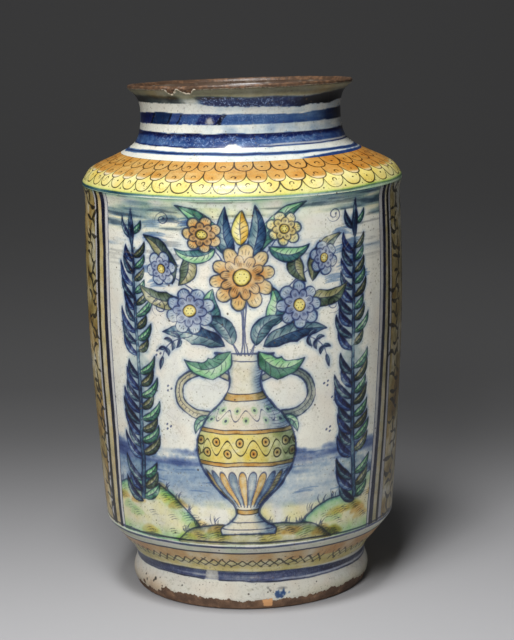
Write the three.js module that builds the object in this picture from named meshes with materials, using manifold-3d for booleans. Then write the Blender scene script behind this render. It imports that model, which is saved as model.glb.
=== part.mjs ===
// Storage jar of the albarello kind: one wheel-thrown earthenware vessel with a drawn-in neck and
// foot, coated outside with white tin glaze and lined inside with a thinner brownish one.
// Millimetres, +Z up, origin at the centre of the foot's underside, painted front towards -Y.
import * as THREE from "three";
import { mergeVertices } from "three/addons/utils/BufferGeometryUtils.js";
import Module from "manifold-3d";

// Heights of the outline, each counted from the one before it, floor to lip
const FOOT_HEIGHT = 18; // floor to the waist above the foot
const COVE_RISE = 12.5; // waist to the crease under the bevel
const BEVEL_RISE = 12; // crease to the lower corner of the body
const BODY_HEIGHT = 201; // lower corner to the shoulder edge
const SHOULDER_RISE = 22.5; // shoulder edge to the root of the neck
const NECK_RISE = 17; // root of the neck to its narrowest ring
const LIP_RISE = 18.2; // narrowest ring to the top of the lip

// Heights inside those stretches
const FOOT_ROLL_HEIGHT = 7.5; // floor to the widest part of the foot
const COVE_HOLLOW_RISE = 8.3; // waist to where the cove turns outwards
const LOW_BODY_RISE = 20; // lower corner to the tucked-in part of the body
const WIDE_BODY_RISE = 122; // lower corner to the widest part of the body
const SHOULDER_TURN_RISE = 6.4; // shoulder edge to where its steep rim turns into the slope
const LIP_TURN_DROP = 7.7; // top of the lip down to where it turns outwards

// Radii of the finished outside, floor to lip
const FOOT_RADIUS = 69.6;
const FOOT_ROLL_RADIUS = 71.6;
const WAIST_RADIUS = 69.5;
const COVE_HOLLOW_RADIUS = 73.2;
const CREASE_RADIUS = 77.2;
const CORNER_RADIUS = 86.7;
const LOW_BODY_RADIUS = 88.3;
const WIDE_BODY_RADIUS = 93.7;
const SHOULDER_RADIUS = 94.4;
const SHOULDER_TURN_RADIUS = 89.6;
const NECK_ROOT_RADIUS = 62.4;
const NECK_RADIUS = 58.8;
const LIP_TURN_RADIUS = 60.7;
const LIP_RADIUS = 66.3;

// Rounded edges
const SHOULDER_ROLL = 1.8; // length of each side of the roll
const LIP_EDGE = 2; // height of the lip's outer edge
const LIP_ROUND = 0.8;
const FOOT_ROUND = 1.2;

// Thickness of the clay
const BODY_WALL = 7;
const SHOULDER_WALL = 7.5;
const NECK_WALL = 5.5;
const LIP_WALL = 3.2;
const FOOT_WALL = 9;
const FLOOR_THICKNESS = 9;
const FLOOR_FILLET = 8;
const FOOT_RING_WIDTH = 11;
const BASE_RECESS = 3.5;

// Glazes, the gap that keeps each off the clay, and the clay that they leave bare
const OUTER_GLAZE = 0.6;
const LINING = 0.5;
const GLAZE_GAP = 0.3;
const LIP_BARE = 3.2;
const FOOT_BARE = 4.4;
const FOOT_BARE_WAVE = 0.9; // how far the lower edge of the glaze runs up and down
const FOOT_BARE_WAVES = 5;

// Two old chips knocked out of the lip, by their angle in degrees from the front towards -X
const LIP_CHIPS = [
  { angle: 37, width: 10, depth: 1.5, height: 5.6 },
  { angle: 26, width: 9, depth: 1.2, height: 4.8 },
];

const SEGMENTS = 44;
const LONG_STEPS = 3; // points from one station of a curve to the next
const SHORT_STEPS = 2;
const MERGE = 1e-4;

const waistZ = FOOT_HEIGHT;
const creaseZ = waistZ + COVE_RISE;
const cornerZ = creaseZ + BEVEL_RISE;
const shoulderZ = cornerZ + BODY_HEIGHT;
const neckRootZ = shoulderZ + SHOULDER_RISE;
const neckZ = neckRootZ + NECK_RISE;
const rimZ = neckZ + LIP_RISE;
const glazeTopZ = rimZ - LIP_BARE;
const floorZ = BASE_RECESS + FLOOR_THICKNESS;
const shoulderTurn = [SHOULDER_TURN_RADIUS, shoulderZ + SHOULDER_TURN_RISE];

const wasm = await Module();
wasm.setup();

// A profile is a list of [radius, height] points, from the bottom up.

// A smooth curve through stations, with the same number of steps between each two
function curve(stations, steps) {
  const through = stations.map(([r, z]) => new THREE.Vector3(r, z, 0));
  const spline = new THREE.CatmullRomCurve3(through, false, "centripetal");
  return spline.getPoints((stations.length - 1) * steps).map((p) => [p.x, p.y]);
}

// A curve round the corner between two neighbours, starting and ending at a distance from it
function roll(before, corner, after, distance) {
  const at = new THREE.Vector2(...corner);
  const towards = (other) => {
    const side = new THREE.Vector2(...other).sub(at);
    return side.setLength(Math.min(distance, side.length() / 2)).add(at);
  };
  const bend = new THREE.QuadraticBezierCurve(towards(before), at, towards(after));
  return bend.getPoints(SHORT_STEPS).map((p) => [p.x, p.y]);
}

// Move a profile sideways: towards the axis by the distance that a height is given
function inwards(profile, distanceAt) {
  const points = profile.map(([r, z]) => new THREE.Vector2(r, z));
  const last = points.length - 1;
  const leftOf = (a, b) => new THREE.Vector2(a.y - b.y, b.x - a.x).normalize();
  return points.map((point, i) => {
    const before = leftOf(points[Math.max(i - 1, 0)], points[Math.max(i, 1)]);
    const after = leftOf(points[Math.min(i, last - 1)], points[Math.min(i + 1, last)]);
    const normal = before.clone().add(after).normalize();
    const reach = distanceAt(point.y) / normal.dot(before);
    return [point.x + normal.x * reach, point.y + normal.y * reach];
  });
}

function radiusAt(profile, height) {
  const above = profile.findIndex(([, z], i) => i > 0 && z >= height);
  const [[r0, z0], [r1, z1]] = [profile[above - 1], profile[above]];
  return THREE.MathUtils.mapLinear(height, z0, z1, r0, r1);
}

// The part of a profile under a height, or over it, cut level there
function upTo(profile, height) {
  return [...profile.filter(([, z]) => z < height), [radiusAt(profile, height), height]];
}

function downTo(profile, height) {
  return [[radiusAt(profile, height), height], ...profile.filter(([, z]) => z > height)];
}

// Turn a profile that is closed, or starts and ends on the axis, about the jar's upright axis
function turned(profile) {
  const points = profile.map(([r, z]) => new THREE.Vector2(r, z));
  return new THREE.LatheGeometry(points, SEGMENTS).rotateX(Math.PI / 2);
}

function solidOf(geometry) {
  const bare = geometry.clone().deleteAttribute("normal").deleteAttribute("uv");
  const merged = mergeVertices(bare, MERGE);
  const mesh = new wasm.Mesh({
    numProp: 3,
    vertProperties: merged.attributes.position.array,
    triVerts: new Uint32Array(merged.index.array),
  });
  return new wasm.Manifold(mesh);
}

function geometryOf(manifold) {
  const { vertProperties, triVerts } = manifold.getMesh();
  const geometry = new THREE.BufferGeometry();
  geometry.setAttribute("position", new THREE.BufferAttribute(vertProperties, 3));
  geometry.setIndex(new THREE.BufferAttribute(triVerts, 1));
  geometry.computeVertexNormals();
  return geometry;
}

// The finished outside, from the floor to the top of the lip's edge, with a ring where the glaze ends
function outsideProfile() {
  const foot = curve([
    [FOOT_RADIUS, 0],
    [FOOT_ROLL_RADIUS, FOOT_ROLL_HEIGHT],
    [WAIST_RADIUS, waistZ],
    [COVE_HOLLOW_RADIUS, waistZ + COVE_HOLLOW_RISE],
    [CREASE_RADIUS, creaseZ],
  ], SHORT_STEPS);
  const body = curve([
    [CORNER_RADIUS, cornerZ],
    [LOW_BODY_RADIUS, cornerZ + LOW_BODY_RISE],
    [WIDE_BODY_RADIUS, cornerZ + WIDE_BODY_RISE],
    [SHOULDER_RADIUS, shoulderZ - SHOULDER_ROLL],
  ], LONG_STEPS);
  const edge = [SHOULDER_RADIUS, shoulderZ];
  const shoulder = roll(body.at(-1), edge, shoulderTurn, SHOULDER_ROLL);
  const neck = curve([
    shoulder.at(-1),
    shoulderTurn,
    [NECK_ROOT_RADIUS, neckRootZ],
    [NECK_RADIUS, neckZ],
    [LIP_TURN_RADIUS, rimZ - LIP_TURN_DROP],
    [LIP_RADIUS, rimZ - LIP_EDGE],
  ], SHORT_STEPS);
  const rings = [...foot, ...body, ...shoulder.slice(1, -1), ...neck, [LIP_RADIUS, rimZ - LIP_ROUND]];
  return [...upTo(rings, glazeTopZ), ...downTo(rings, glazeTopZ).slice(1)];
}

// The inside of the clay, from the middle of the floor to the lip
function insideProfile() {
  const footWallRadius = WAIST_RADIUS - FOOT_WALL;
  const bodyWallRadius = SHOULDER_RADIUS - BODY_WALL;
  const floorCorner = [footWallRadius, floorZ];
  const lowWall = [CORNER_RADIUS - FOOT_WALL, cornerZ + FLOOR_THICKNESS];
  const floor = roll([0, floorZ], floorCorner, lowWall, FLOOR_FILLET);
  const wall = curve([
    floor.at(-1),
    lowWall,
    [LOW_BODY_RADIUS - BODY_WALL, cornerZ + LOW_BODY_RISE + FLOOR_THICKNESS],
    [WIDE_BODY_RADIUS - BODY_WALL, cornerZ + WIDE_BODY_RISE],
    [bodyWallRadius, shoulderZ - SHOULDER_WALL],
  ], SHORT_STEPS);
  const neckRoot = [NECK_ROOT_RADIUS - NECK_WALL, neckRootZ - SHOULDER_WALL / 2];
  const edge = [bodyWallRadius, shoulderTurn[1] - SHOULDER_WALL];
  const shoulder = roll(wall.at(-1), edge, neckRoot, SHOULDER_WALL);
  const neck = curve([
    neckRoot,
    [NECK_RADIUS - NECK_WALL, neckZ],
    [LIP_RADIUS - LIP_WALL, rimZ - LIP_ROUND],
  ], SHORT_STEPS);
  return [[0, floorZ], ...floor, ...wall.slice(1), ...shoulder.slice(1), ...neck];
}

const outside = outsideProfile();
const inside = insideProfile();

// The clay lies this deep under the finished outline, and comes out to it at the bare lip.
function skinDepth(height) {
  const bared = THREE.MathUtils.clamp((rimZ - LIP_EDGE - height) / (LIP_BARE - LIP_EDGE), 0, 1);
  return (OUTER_GLAZE + GLAZE_GAP) * bared;
}

// Earthenware wall, floor, foot ring and lip, all thrown from one lump of clay
function clayBody() {
  const skin = downTo(inwards(outside, skinDepth), FOOT_ROUND);
  const footEdge = skin[0][0];
  const ringInner = footEdge - FOOT_ROUND - FOOT_RING_WIDTH;
  const base = [
    [0, BASE_RECESS],
    [ringInner - BASE_RECESS, BASE_RECESS],
    [ringInner, 0],
    [footEdge - FOOT_ROUND, 0],
  ];
  const lipTop = [
    [LIP_RADIUS - LIP_ROUND, rimZ],
    [LIP_RADIUS - LIP_WALL + LIP_ROUND, rimZ],
  ];
  return solidOf(turned([...base, ...skin, ...lipTop, ...inside.toReversed()]));
}

// White glaze over the outside, with a lower edge that runs up and down round the foot
function outerGlaze() {
  const face = upTo(downTo(outside, FOOT_BARE), glazeTopZ);
  const back = upTo(downTo(inwards(outside, () => OUTER_GLAZE), FOOT_BARE), glazeTopZ);
  const geometry = turned([...face, ...back.toReversed(), face[0]]);
  const position = geometry.attributes.position;
  const point = new THREE.Vector3();
  for (let i = 0; i < position.count; i++) {
    point.fromBufferAttribute(position, i);
    if (point.z >= waistZ) continue;
    const wave = Math.sin(FOOT_BARE_WAVES * Math.atan2(point.y, point.x));
    const share = (waistZ - point.z) / (waistZ - FOOT_BARE);
    const lifted = point.z + FOOT_BARE_WAVE * wave * share;
    const radius = Math.hypot(point.x, point.y);
    const stretch = 1 + (radiusAt(outside, lifted) - radiusAt(outside, point.z)) / radius;
    position.setXYZ(i, point.x * stretch, point.y * stretch, lifted);
  }
  return solidOf(geometry);
}

// Thin glaze over the floor and wall of the inside
function lining() {
  const back = upTo(inwards(inside, () => GLAZE_GAP), glazeTopZ);
  const face = upTo(inwards(inside, () => GLAZE_GAP + LINING), glazeTopZ);
  return solidOf(turned([...back, ...face.toReversed()]));
}

// The lumps that the chips knocked out of the lip's outer edge
function chipLumps() {
  return LIP_CHIPS.map(({ angle, width, depth, height }) => {
    const lump = new THREE.SphereGeometry(1, 12, 8).scale(width / 2, depth, height / 2);
    lump.translate(0, -LIP_RADIUS, rimZ - LIP_EDGE);
    return solidOf(lump.rotateZ(-THREE.MathUtils.degToRad(angle)));
  });
}

const withoutChips = (solid) => chipLumps().reduce((left, lump) => left.subtract(lump), solid);

const finishes = {
  clay: new THREE.MeshStandardMaterial({ color: "#8a5f43", roughness: 0.85, metalness: 0 }),
  white: new THREE.MeshStandardMaterial({ color: "#cfcdc4", roughness: 0.22, metalness: 0 }),
  lining: new THREE.MeshStandardMaterial({ color: "#a39a8c", roughness: 0.35, metalness: 0 }),
};

function piece(name, solid, material) {
  const mesh = new THREE.Mesh(geometryOf(solid), material);
  mesh.name = name;
  return mesh;
}

const jar = new THREE.Group();
jar.add(
  piece("fired_clay_body", withoutChips(clayBody()), finishes.clay),
  piece("outer_tin_glaze", withoutChips(outerGlaze()), finishes.white),
  piece("inner_lining_glaze", lining(), finishes.lining),
);

export default jar;
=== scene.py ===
# %% [markdown]
# A tall storage jar of tin-glazed earthenware, the kind that stood on a pharmacy shelf. A potter
# threw it on the wheel from one lump of red clay, turned the foot, fired it, dipped it in white
# tin glaze, and a painter drew on the raw white glaze with metal oxides before the second firing.
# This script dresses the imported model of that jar. It follows the painter's order: first the smooth
# thrown surfaces, then the painting as layers of colour in millimetres, then the materials.

import math

import bpy
import numpy as np
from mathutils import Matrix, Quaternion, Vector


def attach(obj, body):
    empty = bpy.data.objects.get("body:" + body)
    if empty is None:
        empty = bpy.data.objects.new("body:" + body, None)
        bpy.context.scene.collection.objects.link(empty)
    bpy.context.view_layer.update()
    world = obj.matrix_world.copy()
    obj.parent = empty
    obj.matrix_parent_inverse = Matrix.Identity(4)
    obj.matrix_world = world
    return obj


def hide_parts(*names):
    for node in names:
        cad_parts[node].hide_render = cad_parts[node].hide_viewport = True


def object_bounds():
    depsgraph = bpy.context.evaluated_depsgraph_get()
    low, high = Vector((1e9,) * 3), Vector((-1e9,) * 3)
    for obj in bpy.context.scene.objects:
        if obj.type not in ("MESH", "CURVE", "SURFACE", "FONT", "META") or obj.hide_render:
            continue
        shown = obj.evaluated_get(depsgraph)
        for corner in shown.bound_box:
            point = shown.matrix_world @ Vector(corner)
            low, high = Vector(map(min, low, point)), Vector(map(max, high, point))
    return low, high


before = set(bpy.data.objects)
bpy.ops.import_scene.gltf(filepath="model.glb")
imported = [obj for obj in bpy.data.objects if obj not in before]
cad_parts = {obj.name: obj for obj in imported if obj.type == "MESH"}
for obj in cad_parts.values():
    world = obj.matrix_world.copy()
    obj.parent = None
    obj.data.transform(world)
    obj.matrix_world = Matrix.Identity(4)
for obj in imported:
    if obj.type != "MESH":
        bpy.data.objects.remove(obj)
cad_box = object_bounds()
print("nodes:", sorted(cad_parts), "CAD box in metres:", [round(c, 4) for p in cad_box for c in p])

# %% [markdown]
# The outline. A wheel turns every height into a circle, so one curve of radius against height says
# the whole form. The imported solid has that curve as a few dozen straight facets. The stations are
# written once more here, in millimetres, and joined by the same centripetal spline, so that the fine
# surface passes through the solid's own rings. A polygon that is only subdivided would shrink inwards
# and lose the crisp bevel over the foot.

# %% The outline's stations
MM = 0.001
FOOT_HEIGHT, COVE_RISE, BEVEL_RISE, BODY_HEIGHT = 18, 12.5, 12, 201
SHOULDER_RISE, NECK_RISE, LIP_RISE = 22.5, 17, 18.2
FOOT_RADIUS, FOOT_ROLL_RADIUS, FOOT_ROLL_HEIGHT = 69.6, 71.6, 7.5
WAIST_RADIUS, COVE_HOLLOW_RADIUS, COVE_HOLLOW_RISE, CREASE_RADIUS = 69.5, 73.2, 8.3, 77.2
CORNER_RADIUS, LOW_BODY_RADIUS, LOW_BODY_RISE = 86.7, 88.3, 20
WIDE_BODY_RADIUS, WIDE_BODY_RISE = 93.7, 122
HIGH_BODY_RADIUS, HIGH_BODY_DROP = 93.6, 28
HOLLOW_RADIUS, HOLLOW_DROP = 93.2, 7
SHOULDER_RADIUS = round(cad_box[1].x / MM, 1)
SHOULDER_TURN_RADIUS, SHOULDER_TURN_RISE = 89.6, 6.4
NECK_ROOT_RADIUS, NECK_RADIUS = 62.4, 58.8
LIP_TURN_RADIUS, LIP_TURN_DROP, LIP_RADIUS = 60.7, 7.7, 66.3
SHOULDER_ROLL, LIP_EDGE, LIP_WALL, LIP_ROUND = 1.8, 2, 3.2, 0.8

WAIST = FOOT_HEIGHT
CREASE = WAIST + COVE_RISE
CORNER = CREASE + BEVEL_RISE
SHOULDER = CORNER + BODY_HEIGHT
NECK_ROOT = SHOULDER + SHOULDER_RISE
NECK = NECK_ROOT + NECK_RISE
RIM = NECK + LIP_RISE
print("shoulder at", SHOULDER, "mm, rim at", RIM, "mm, CAD top at", round(cad_box[1].z / MM, 2), "mm")

# %% [markdown]
# A thrown wall bends without a break, so straight lines between the stations would look like folded card.
# A Bezier curve's handles have to be set by hand. A Catmull-Rom curve finds its own slopes from the
# neighbouring stations. Its points are then spaced evenly, for a grid with cells of one size.

# %% Curves through the stations
def ease(t):
    """0 under 0, 1 over 1, and an S-shaped rise between: three squares less two cubes."""
    t = np.clip(t, 0, 1)
    return t * t * (3 - 2 * t)


def smooth_curve(stations, steps):
    """Points on the centripetal Catmull-Rom curve: a cubic from each station to the next, with end slopes
    from the four stations about it."""
    p = np.array(stations, float)
    p = np.vstack([2 * p[0] - p[1], p, 2 * p[-1] - p[-2]])
    a, b, c, d = p[:-3], p[1:-2], p[2:-1], p[3:]
    ab, bc, cd = (np.sqrt(np.linalg.norm(q - o, axis=1))[:, None] for o, q in ((a, b), (b, c), (c, d)))
    leave = ((b - a) / ab - (c - a) / (ab + bc) + (c - b) / bc) * bc
    arrive = ((c - b) / bc - (d - b) / (bc + cd) + (d - c) / cd) * bc
    t = (np.arange(steps) / steps)[:, None, None]
    cubic = 2 * b - 2 * c + leave + arrive
    square = -3 * b + 3 * c - 2 * leave - arrive
    spans = b + leave * t + square * t**2 + cubic * t**3
    return np.vstack([spans.transpose(1, 0, 2).reshape(-1, 2), c[-1:]])


def evenly(points, step):
    """The same line with its points a steady step apart along its length."""
    gaps = np.linalg.norm(np.diff(points, axis=0), axis=1)
    keep = np.r_[True, gaps > 1e-9]
    points, gaps = points[keep], gaps[gaps > 1e-9]
    along = np.r_[0, np.cumsum(gaps)]
    at = np.linspace(0, along[-1], int(round(along[-1] / step)) + 1)
    return np.stack([np.interp(at, along, points[:, k]) for k in (0, 1)], 1)


def eased(points, width):
    """The line with its corners softened: a running average over a stretch of that many points."""
    pad = np.pad(points, ((width, width), (0, 0)), mode="reflect", reflect_type="odd")
    window = np.hanning(2 * width + 1) / np.hanning(2 * width + 1).sum()
    return np.stack([np.convolve(pad[:, k], window, "valid") for k in (0, 1)], 1)


print("a curve through 3 stations, 8 steps each:", len(smooth_curve([(0, 0), (1, 1), (0, 2)], 8)), "points")

# %% [markdown]
# Three curves make the outside, with sharp turns between them at the bevel and the shoulder's edge. Wet
# clay and a coat of glaze round off every corner, so the whole line is eased over about a millimetre.

# %% The finished outside as one fine line
FINE = 0.1  # millimetres between two points of the line
foot_line = smooth_curve([
    (FOOT_RADIUS, 0), (FOOT_ROLL_RADIUS, FOOT_ROLL_HEIGHT), (WAIST_RADIUS, WAIST),
    (COVE_HOLLOW_RADIUS, WAIST + COVE_HOLLOW_RISE), (CREASE_RADIUS, CREASE)], 80)
body_line = smooth_curve([
    (CORNER_RADIUS, CORNER), (LOW_BODY_RADIUS, CORNER + LOW_BODY_RISE),
    (WIDE_BODY_RADIUS, CORNER + WIDE_BODY_RISE), (HIGH_BODY_RADIUS, SHOULDER - HIGH_BODY_DROP),
    (HOLLOW_RADIUS, SHOULDER - HOLLOW_DROP),
    (SHOULDER_RADIUS, SHOULDER - SHOULDER_ROLL)], 400)
shoulder_roll = [(SHOULDER_RADIUS - 0.15 * SHOULDER_ROLL, SHOULDER - 0.05 * SHOULDER_ROLL)]
neck_line = smooth_curve([
    (SHOULDER_RADIUS - 0.6 * SHOULDER_ROLL, SHOULDER + 0.8 * SHOULDER_ROLL),
    (SHOULDER_TURN_RADIUS, SHOULDER + SHOULDER_TURN_RISE),
    (NECK_ROOT_RADIUS, NECK_ROOT), (NECK_RADIUS, NECK),
    (LIP_TURN_RADIUS, RIM - LIP_TURN_DROP), (LIP_RADIUS, RIM - LIP_EDGE)], 120)
lip_edge = [(LIP_RADIUS, RIM - LIP_ROUND)]
outline = eased(evenly(np.vstack([foot_line, body_line, shoulder_roll, neck_line, lip_edge]), FINE), 9)
LENGTH = FINE * (len(outline) - 1)
ALONG = np.arange(len(outline)) * FINE
print("outline:", len(outline), "points,", round(LENGTH, 1), "mm long,",
      "widest", round(outline[:, 0].max(), 2))

# %% [markdown]
# Everything else is laid on this line, so heights, radii and outward directions are looked up on it. No
# thrown jar is quite true: its shoulder sags on two sides and its lip leans. A lattice could bend the
# pieces, but one formula of angle and height serves the clay, the lining and the glaze alike.

# %% Places on the outline
def along_at(height):
    """How far along the outline a height is: the heights only rise, so they can be looked up."""
    return np.interp(height, outline[:, 1], ALONG)


def ring_at(along):
    """Radius, height and the outward normal of the outline at a distance along it."""
    slopes = np.gradient(outline, FINE, axis=0)
    radius, height, dr, dz = (np.interp(along, ALONG, c) for c in (*outline.T, *slopes.T))
    size = np.hypot(dr, dz)
    return radius, height, dz / size, -dr / size


def settled(angle, height):
    """How far the soft clay sank, in millimetres: a saddle by the cosine of twice the angle, and a lean
    of the lip by a cosine and a sine of the angle."""
    a = np.radians(angle)
    at_shoulder = ease((height - 160) / 80) * ease((272 - height) / 22)
    at_lip = ease((height - 274) / 22)
    return at_lip * (0.95 * np.cos(a) + 0.6 * np.sin(a) - 1.13) - at_shoulder * np.cos(2 * a)


print("the shoulder is", round(float(along_at(SHOULDER)), 1), "mm along the outline,",
      "and the lip sinks by", round(float(-settled(np.arange(360), RIM).min()), 2), "mm at most")

# %% [markdown]
# The skin of glaze. On the real jar it is one coat, about half a millimetre thick. Here it is eight
# closed shells that meet along painted lines, as a potter's tiles would: neck, shoulder, two halves of the
# front panel, back panel, two side strips and foot. Smaller shells keep a fine grid on each, so every
# brush line has points of its own, and each gets its own sheet of texture when the model is exported. A
# shell is a grid of points in two directions, round the jar and up its outline, with a coarse copy behind.

# %% A sheet of glaze
UNROLLED = 90  # the radius in millimetres at which the body's paint is laid out flat
NO_LINE = -5.0  # the signed distance where there is no line and no wear
CROWD = (0, 0.41, 0.59, 1)  # the shares of a side sheet's columns that its stops stand at


class Sheet:
    """A grid on the outline, and the paint on it, in millimetres and degrees. Columns run to the right,
    seen from outside, and rows up. The angle is 0 at the front. tint is the share of light let through.
    ink, cobalt and bare are signed distances, above 0 in a line or where glaze is lost. pale is foam in
    the blue or fresh clay, and under 0 the white rim of a chip."""

    def __init__(self, start, end, low, high, columns, rows, stops=None):
        self.ring = end - start >= 360
        turn = np.linspace(start, end, columns + 1)[: columns if self.ring else None]
        if stops:
            turn = np.interp(np.linspace(0, 1, columns + 1), CROWD, stops)
        reach = np.linspace(along_at(low), along_at(high), rows + 1)
        self.angle, self.along = np.meshgrid(turn, reach, indexing="ij")
        self.radius, self.height, self.out, self.up = ring_at(self.along)
        self.x, self.y = np.radians(self.angle) * UNROLLED, self.height - CORNER
        self.sink = np.zeros(self.angle.shape)
        self.tint = np.ones(self.angle.shape + (3,))
        self.pale = np.zeros(self.angle.shape)
        self.ink, self.cobalt, self.bare = (np.full(self.angle.shape, NO_LINE) for _ in range(3))

    def points(self, depth=0.0):
        """Places in metres, the given depth under the outline along its normal."""
        r = self.radius - self.out * (self.sink + depth)
        z = self.height - self.up * (self.sink + depth) + settled(self.angle, self.height)
        turn = np.radians(self.angle)
        return np.stack([r * np.sin(turn), -r * np.cos(turn), z], -1) * MM

    def wash(self, amount, colour):
        """Lay paint: the tint is multiplied by the colour to the power of the amount."""
        self.tint *= colour ** np.clip(amount, 0, None)[..., None]

    def draw(self, mark, depth):
        """Add to the dark lines, the blue lines or the bare places: the greater distance counts."""
        np.maximum(getattr(self, mark), depth, out=getattr(self, mark))

    def wear(self, share):
        """Rub paint off: the tint goes back towards white by a share."""
        self.tint += (1 - self.tint) * np.clip(share, 0, 1)[..., None]


print("the body's paint, laid out flat, is", round(2 * np.pi * UNROLLED), "mm long")

# %% [markdown]
# A sheet alone has no thickness, and no printer could make it. Solidify would close it but double every
# point. The back of the glaze lies unseen on the clay. So it is a copy with only every eighth point or so,
# and each stretch of the rim between the two is one polygon.

# %% Close a sheet into a shell
GLAZE_COAT = 0.55


def shell(sheet, skip, depth=GLAZE_COAT):
    """Points and faces of a closed shell: the sheet, every few of its points moved in, and the edges, one
    polygon for each stretch."""
    front, rear = sheet.points(), sheet.points(depth)[:: skip[0], :: skip[1]]
    f = np.arange(front[..., 0].size).reshape(front.shape[:2])
    b = np.arange(rear[..., 0].size).reshape(rear.shape[:2]) + f.size
    if sheet.ring:
        f, b = np.vstack([f, f[:1]]), np.vstack([b, b[:1]])
    faces = np.stack([f[:-1, :-1], f[1:, :-1], f[1:, 1:], f[:-1, 1:]], -1).reshape(-1, 4).tolist()
    smooth = len(faces)
    faces += np.stack([b[:-1, :-1], b[:-1, 1:], b[1:, 1:], b[1:, :-1]], -1).reshape(-1, 4).tolist()

    def edge(fine, coarse, step):
        """Polygons between two rows of numbers, the fine one having step stretches to each coarse one."""
        at = np.arange(0, len(fine) - 1, step)[:, None] + np.arange(step + 1)
        return np.hstack([fine[at], coarse[1:, None], coarse[:-1, None]]).tolist()

    faces += edge(f[:, -1], b[:, -1], skip[0])
    faces += edge(f[::-1, 0], b[::-1, 0], skip[0])
    if not sheet.ring:
        faces += edge(f[0], b[0], skip[1])
        faces += edge(f[-1, ::-1], b[-1, ::-1], skip[1])
    return np.vstack([front.reshape(-1, 3), rear.reshape(-1, 3)]), faces, smooth


small_points, small_faces, small_smooth = shell(Sheet(0, 20, 100, 120, 16, 18), (8, 9))
print("a small shell:", len(small_points), "points,", small_smooth, "of", len(small_faces), "faces in front")

# %% [markdown]
# Each piece is a mesh at the origin that rides on the jar's one body. The paint goes with it as attributes
# on its points. A picture wrapped round the jar could carry the paint too, but points need no unwrapping,
# and a line stays sharp when it is stored as a distance.

# %% Put a piece on the jar
BODY = "root"


def piece(name, points, faces, smooth, material, slot, marks=None):
    """A mesh at the origin that rides on the jar. The first faces are smooth, the rest flat. The edges of
    a flat face are marked sharp."""
    mesh = bpy.data.meshes.new(name)
    mesh.from_pydata(points, [], faces)
    mesh.polygons.foreach_set("use_smooth", np.arange(len(faces)) < smooth)
    corner_edges = np.empty(len(mesh.loops), np.int32)
    mesh.loops.foreach_get("edge_index", corner_edges)
    flat = np.repeat(np.arange(len(faces)) >= smooth, [len(face) for face in faces])
    sharp = np.zeros(len(mesh.edges), bool)
    sharp[corner_edges[flat]] = True
    mesh.edges.foreach_set("use_edge_sharp", sharp)
    for mark, values in (marks or {}).items():
        kind = "FLOAT_COLOR" if values.ndim > 1 else "FLOAT"
        field = mesh.attributes.new(mark, kind, "POINT")
        field.data.foreach_set("color" if values.ndim > 1 else "value", values.ravel().astype("f"))
    mesh.materials.append(material)
    mesh.update()
    made = bpy.data.objects.new(name, mesh)
    bpy.context.scene.collection.objects.link(made)
    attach(made, BODY)
    triangles = sum(len(p) - 2 for p in faces)
    print(name, "has", triangles, "triangles")
    return made


print("every piece rides on the body", BODY)

# %% [markdown]
# A painter's hand is never quite steady and cobalt never lies quite even. Both come from one source of
# soft noise that closes round the jar, made from a hash of whole numbers, so it is the same each time.

# %% Steady noise
JAR_ROUND = 570  # the widest part's circumference in millimetres


def chance(i, j, seed):
    """A number from 0 to 1 for each pair of whole numbers: their bits multiplied and mixed."""
    h = (i * 374761393 + j * 668265263 + seed * 974634777) & 0xFFFFFFFF
    h = ((h ^ (h >> 13)) * 1274126177) & 0xFFFFFFFF
    return ((h ^ (h >> 16)) & 0xFFFF) / 65535.0


def wander(angle, height, cell, seed, octaves=3):
    """Noise from about -1 to 1 with bumps about cell millimetres wide: chance numbers on a net that
    closes round the jar, eased between, then nets twice as fine and half as strong."""
    angle, height = np.broadcast_arrays(angle, height)
    total = np.zeros(angle.shape)
    for k in range(octaves):
        turns = max(3, round(JAR_ROUND / cell)) * 2**k
        x, y = (angle / 360 + 1) * turns, height / cell * 2**k
        i, j = np.floor(x).astype(np.int64), np.floor(y).astype(np.int64)
        s, t = ease(x - i), ease(y - j)
        a, b, c, d = (chance((i + p) % turns, j + q, seed + k) for p, q in ((0, 0), (1, 0), (0, 1), (1, 1)))
        total += ((a + (b - a) * s) * (1 - t) + (c + (d - c) * s) * t - 0.5) * 2 / 2**k
    return total


def around(s, *places):
    """A value that changes round the jar, in straight steps from one (angle, value) to the next."""
    angles, values = zip(*places)
    return np.interp(s.angle, angles, values, period=360)


def hand(s, size, seed, cell=34):
    """How far a level line strays, in millimetres, as it goes round."""
    return wander(s.angle, np.zeros_like(s.angle), cell, seed) * size


def brushed(s, seed, long=34, fine=1.6):
    """Streaks that run round the jar, long in one direction and fine in the other."""
    return wander(s.angle, s.along * long / fine, long, seed)


print("noise at five places round the jar, first and last the same:",
      wander(np.linspace(-180, 180, 5), 0.0, 30, 1).round(2))

# %% [markdown]
# Pigments on tin glaze behave like coloured glass over white paper: two layers let through a share of
# a share. So each wash multiplies the tint by its colour to a power, and a double load of cobalt turns
# from pale blue to nearly black by itself. The colours are written as they look over the white.

# %% Pigments
def linear(*colour):
    """The share of light for a screen colour from 0 to 255, by the screen's own curve."""
    c = np.array(colour, float) / 255
    return np.where(c > 0.04045, ((c + 0.055) / 1.055) ** 2.4, c / 12.92)


WHITE = linear(214, 210, 201)


def pigment(*colour):
    """The share of light that a pigment lets through, from how it looks over the white glaze."""
    return np.minimum(linear(*colour) / WHITE, 1.0)


COBALT = pigment(92, 116, 150)
INDIGO = pigment(92, 92, 132)
TEAL = pigment(104, 128, 136)
ORANGE = pigment(188, 142, 76)
RUST = pigment(178, 128, 92)
YELLOW = pigment(222, 198, 118)
OCHRE = pigment(196, 164, 104)
GREEN = pigment(156, 190, 150)
OLIVE = pigment(150, 146, 112)
BISTRE = pigment(112, 96, 66)
# a dark grey pigment; on the right-hand frame it is also laid as painted shade
GREY_AND_SHADE = pigment(86, 86, 88)
BLUSH = pigment(222, 200, 190)


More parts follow.
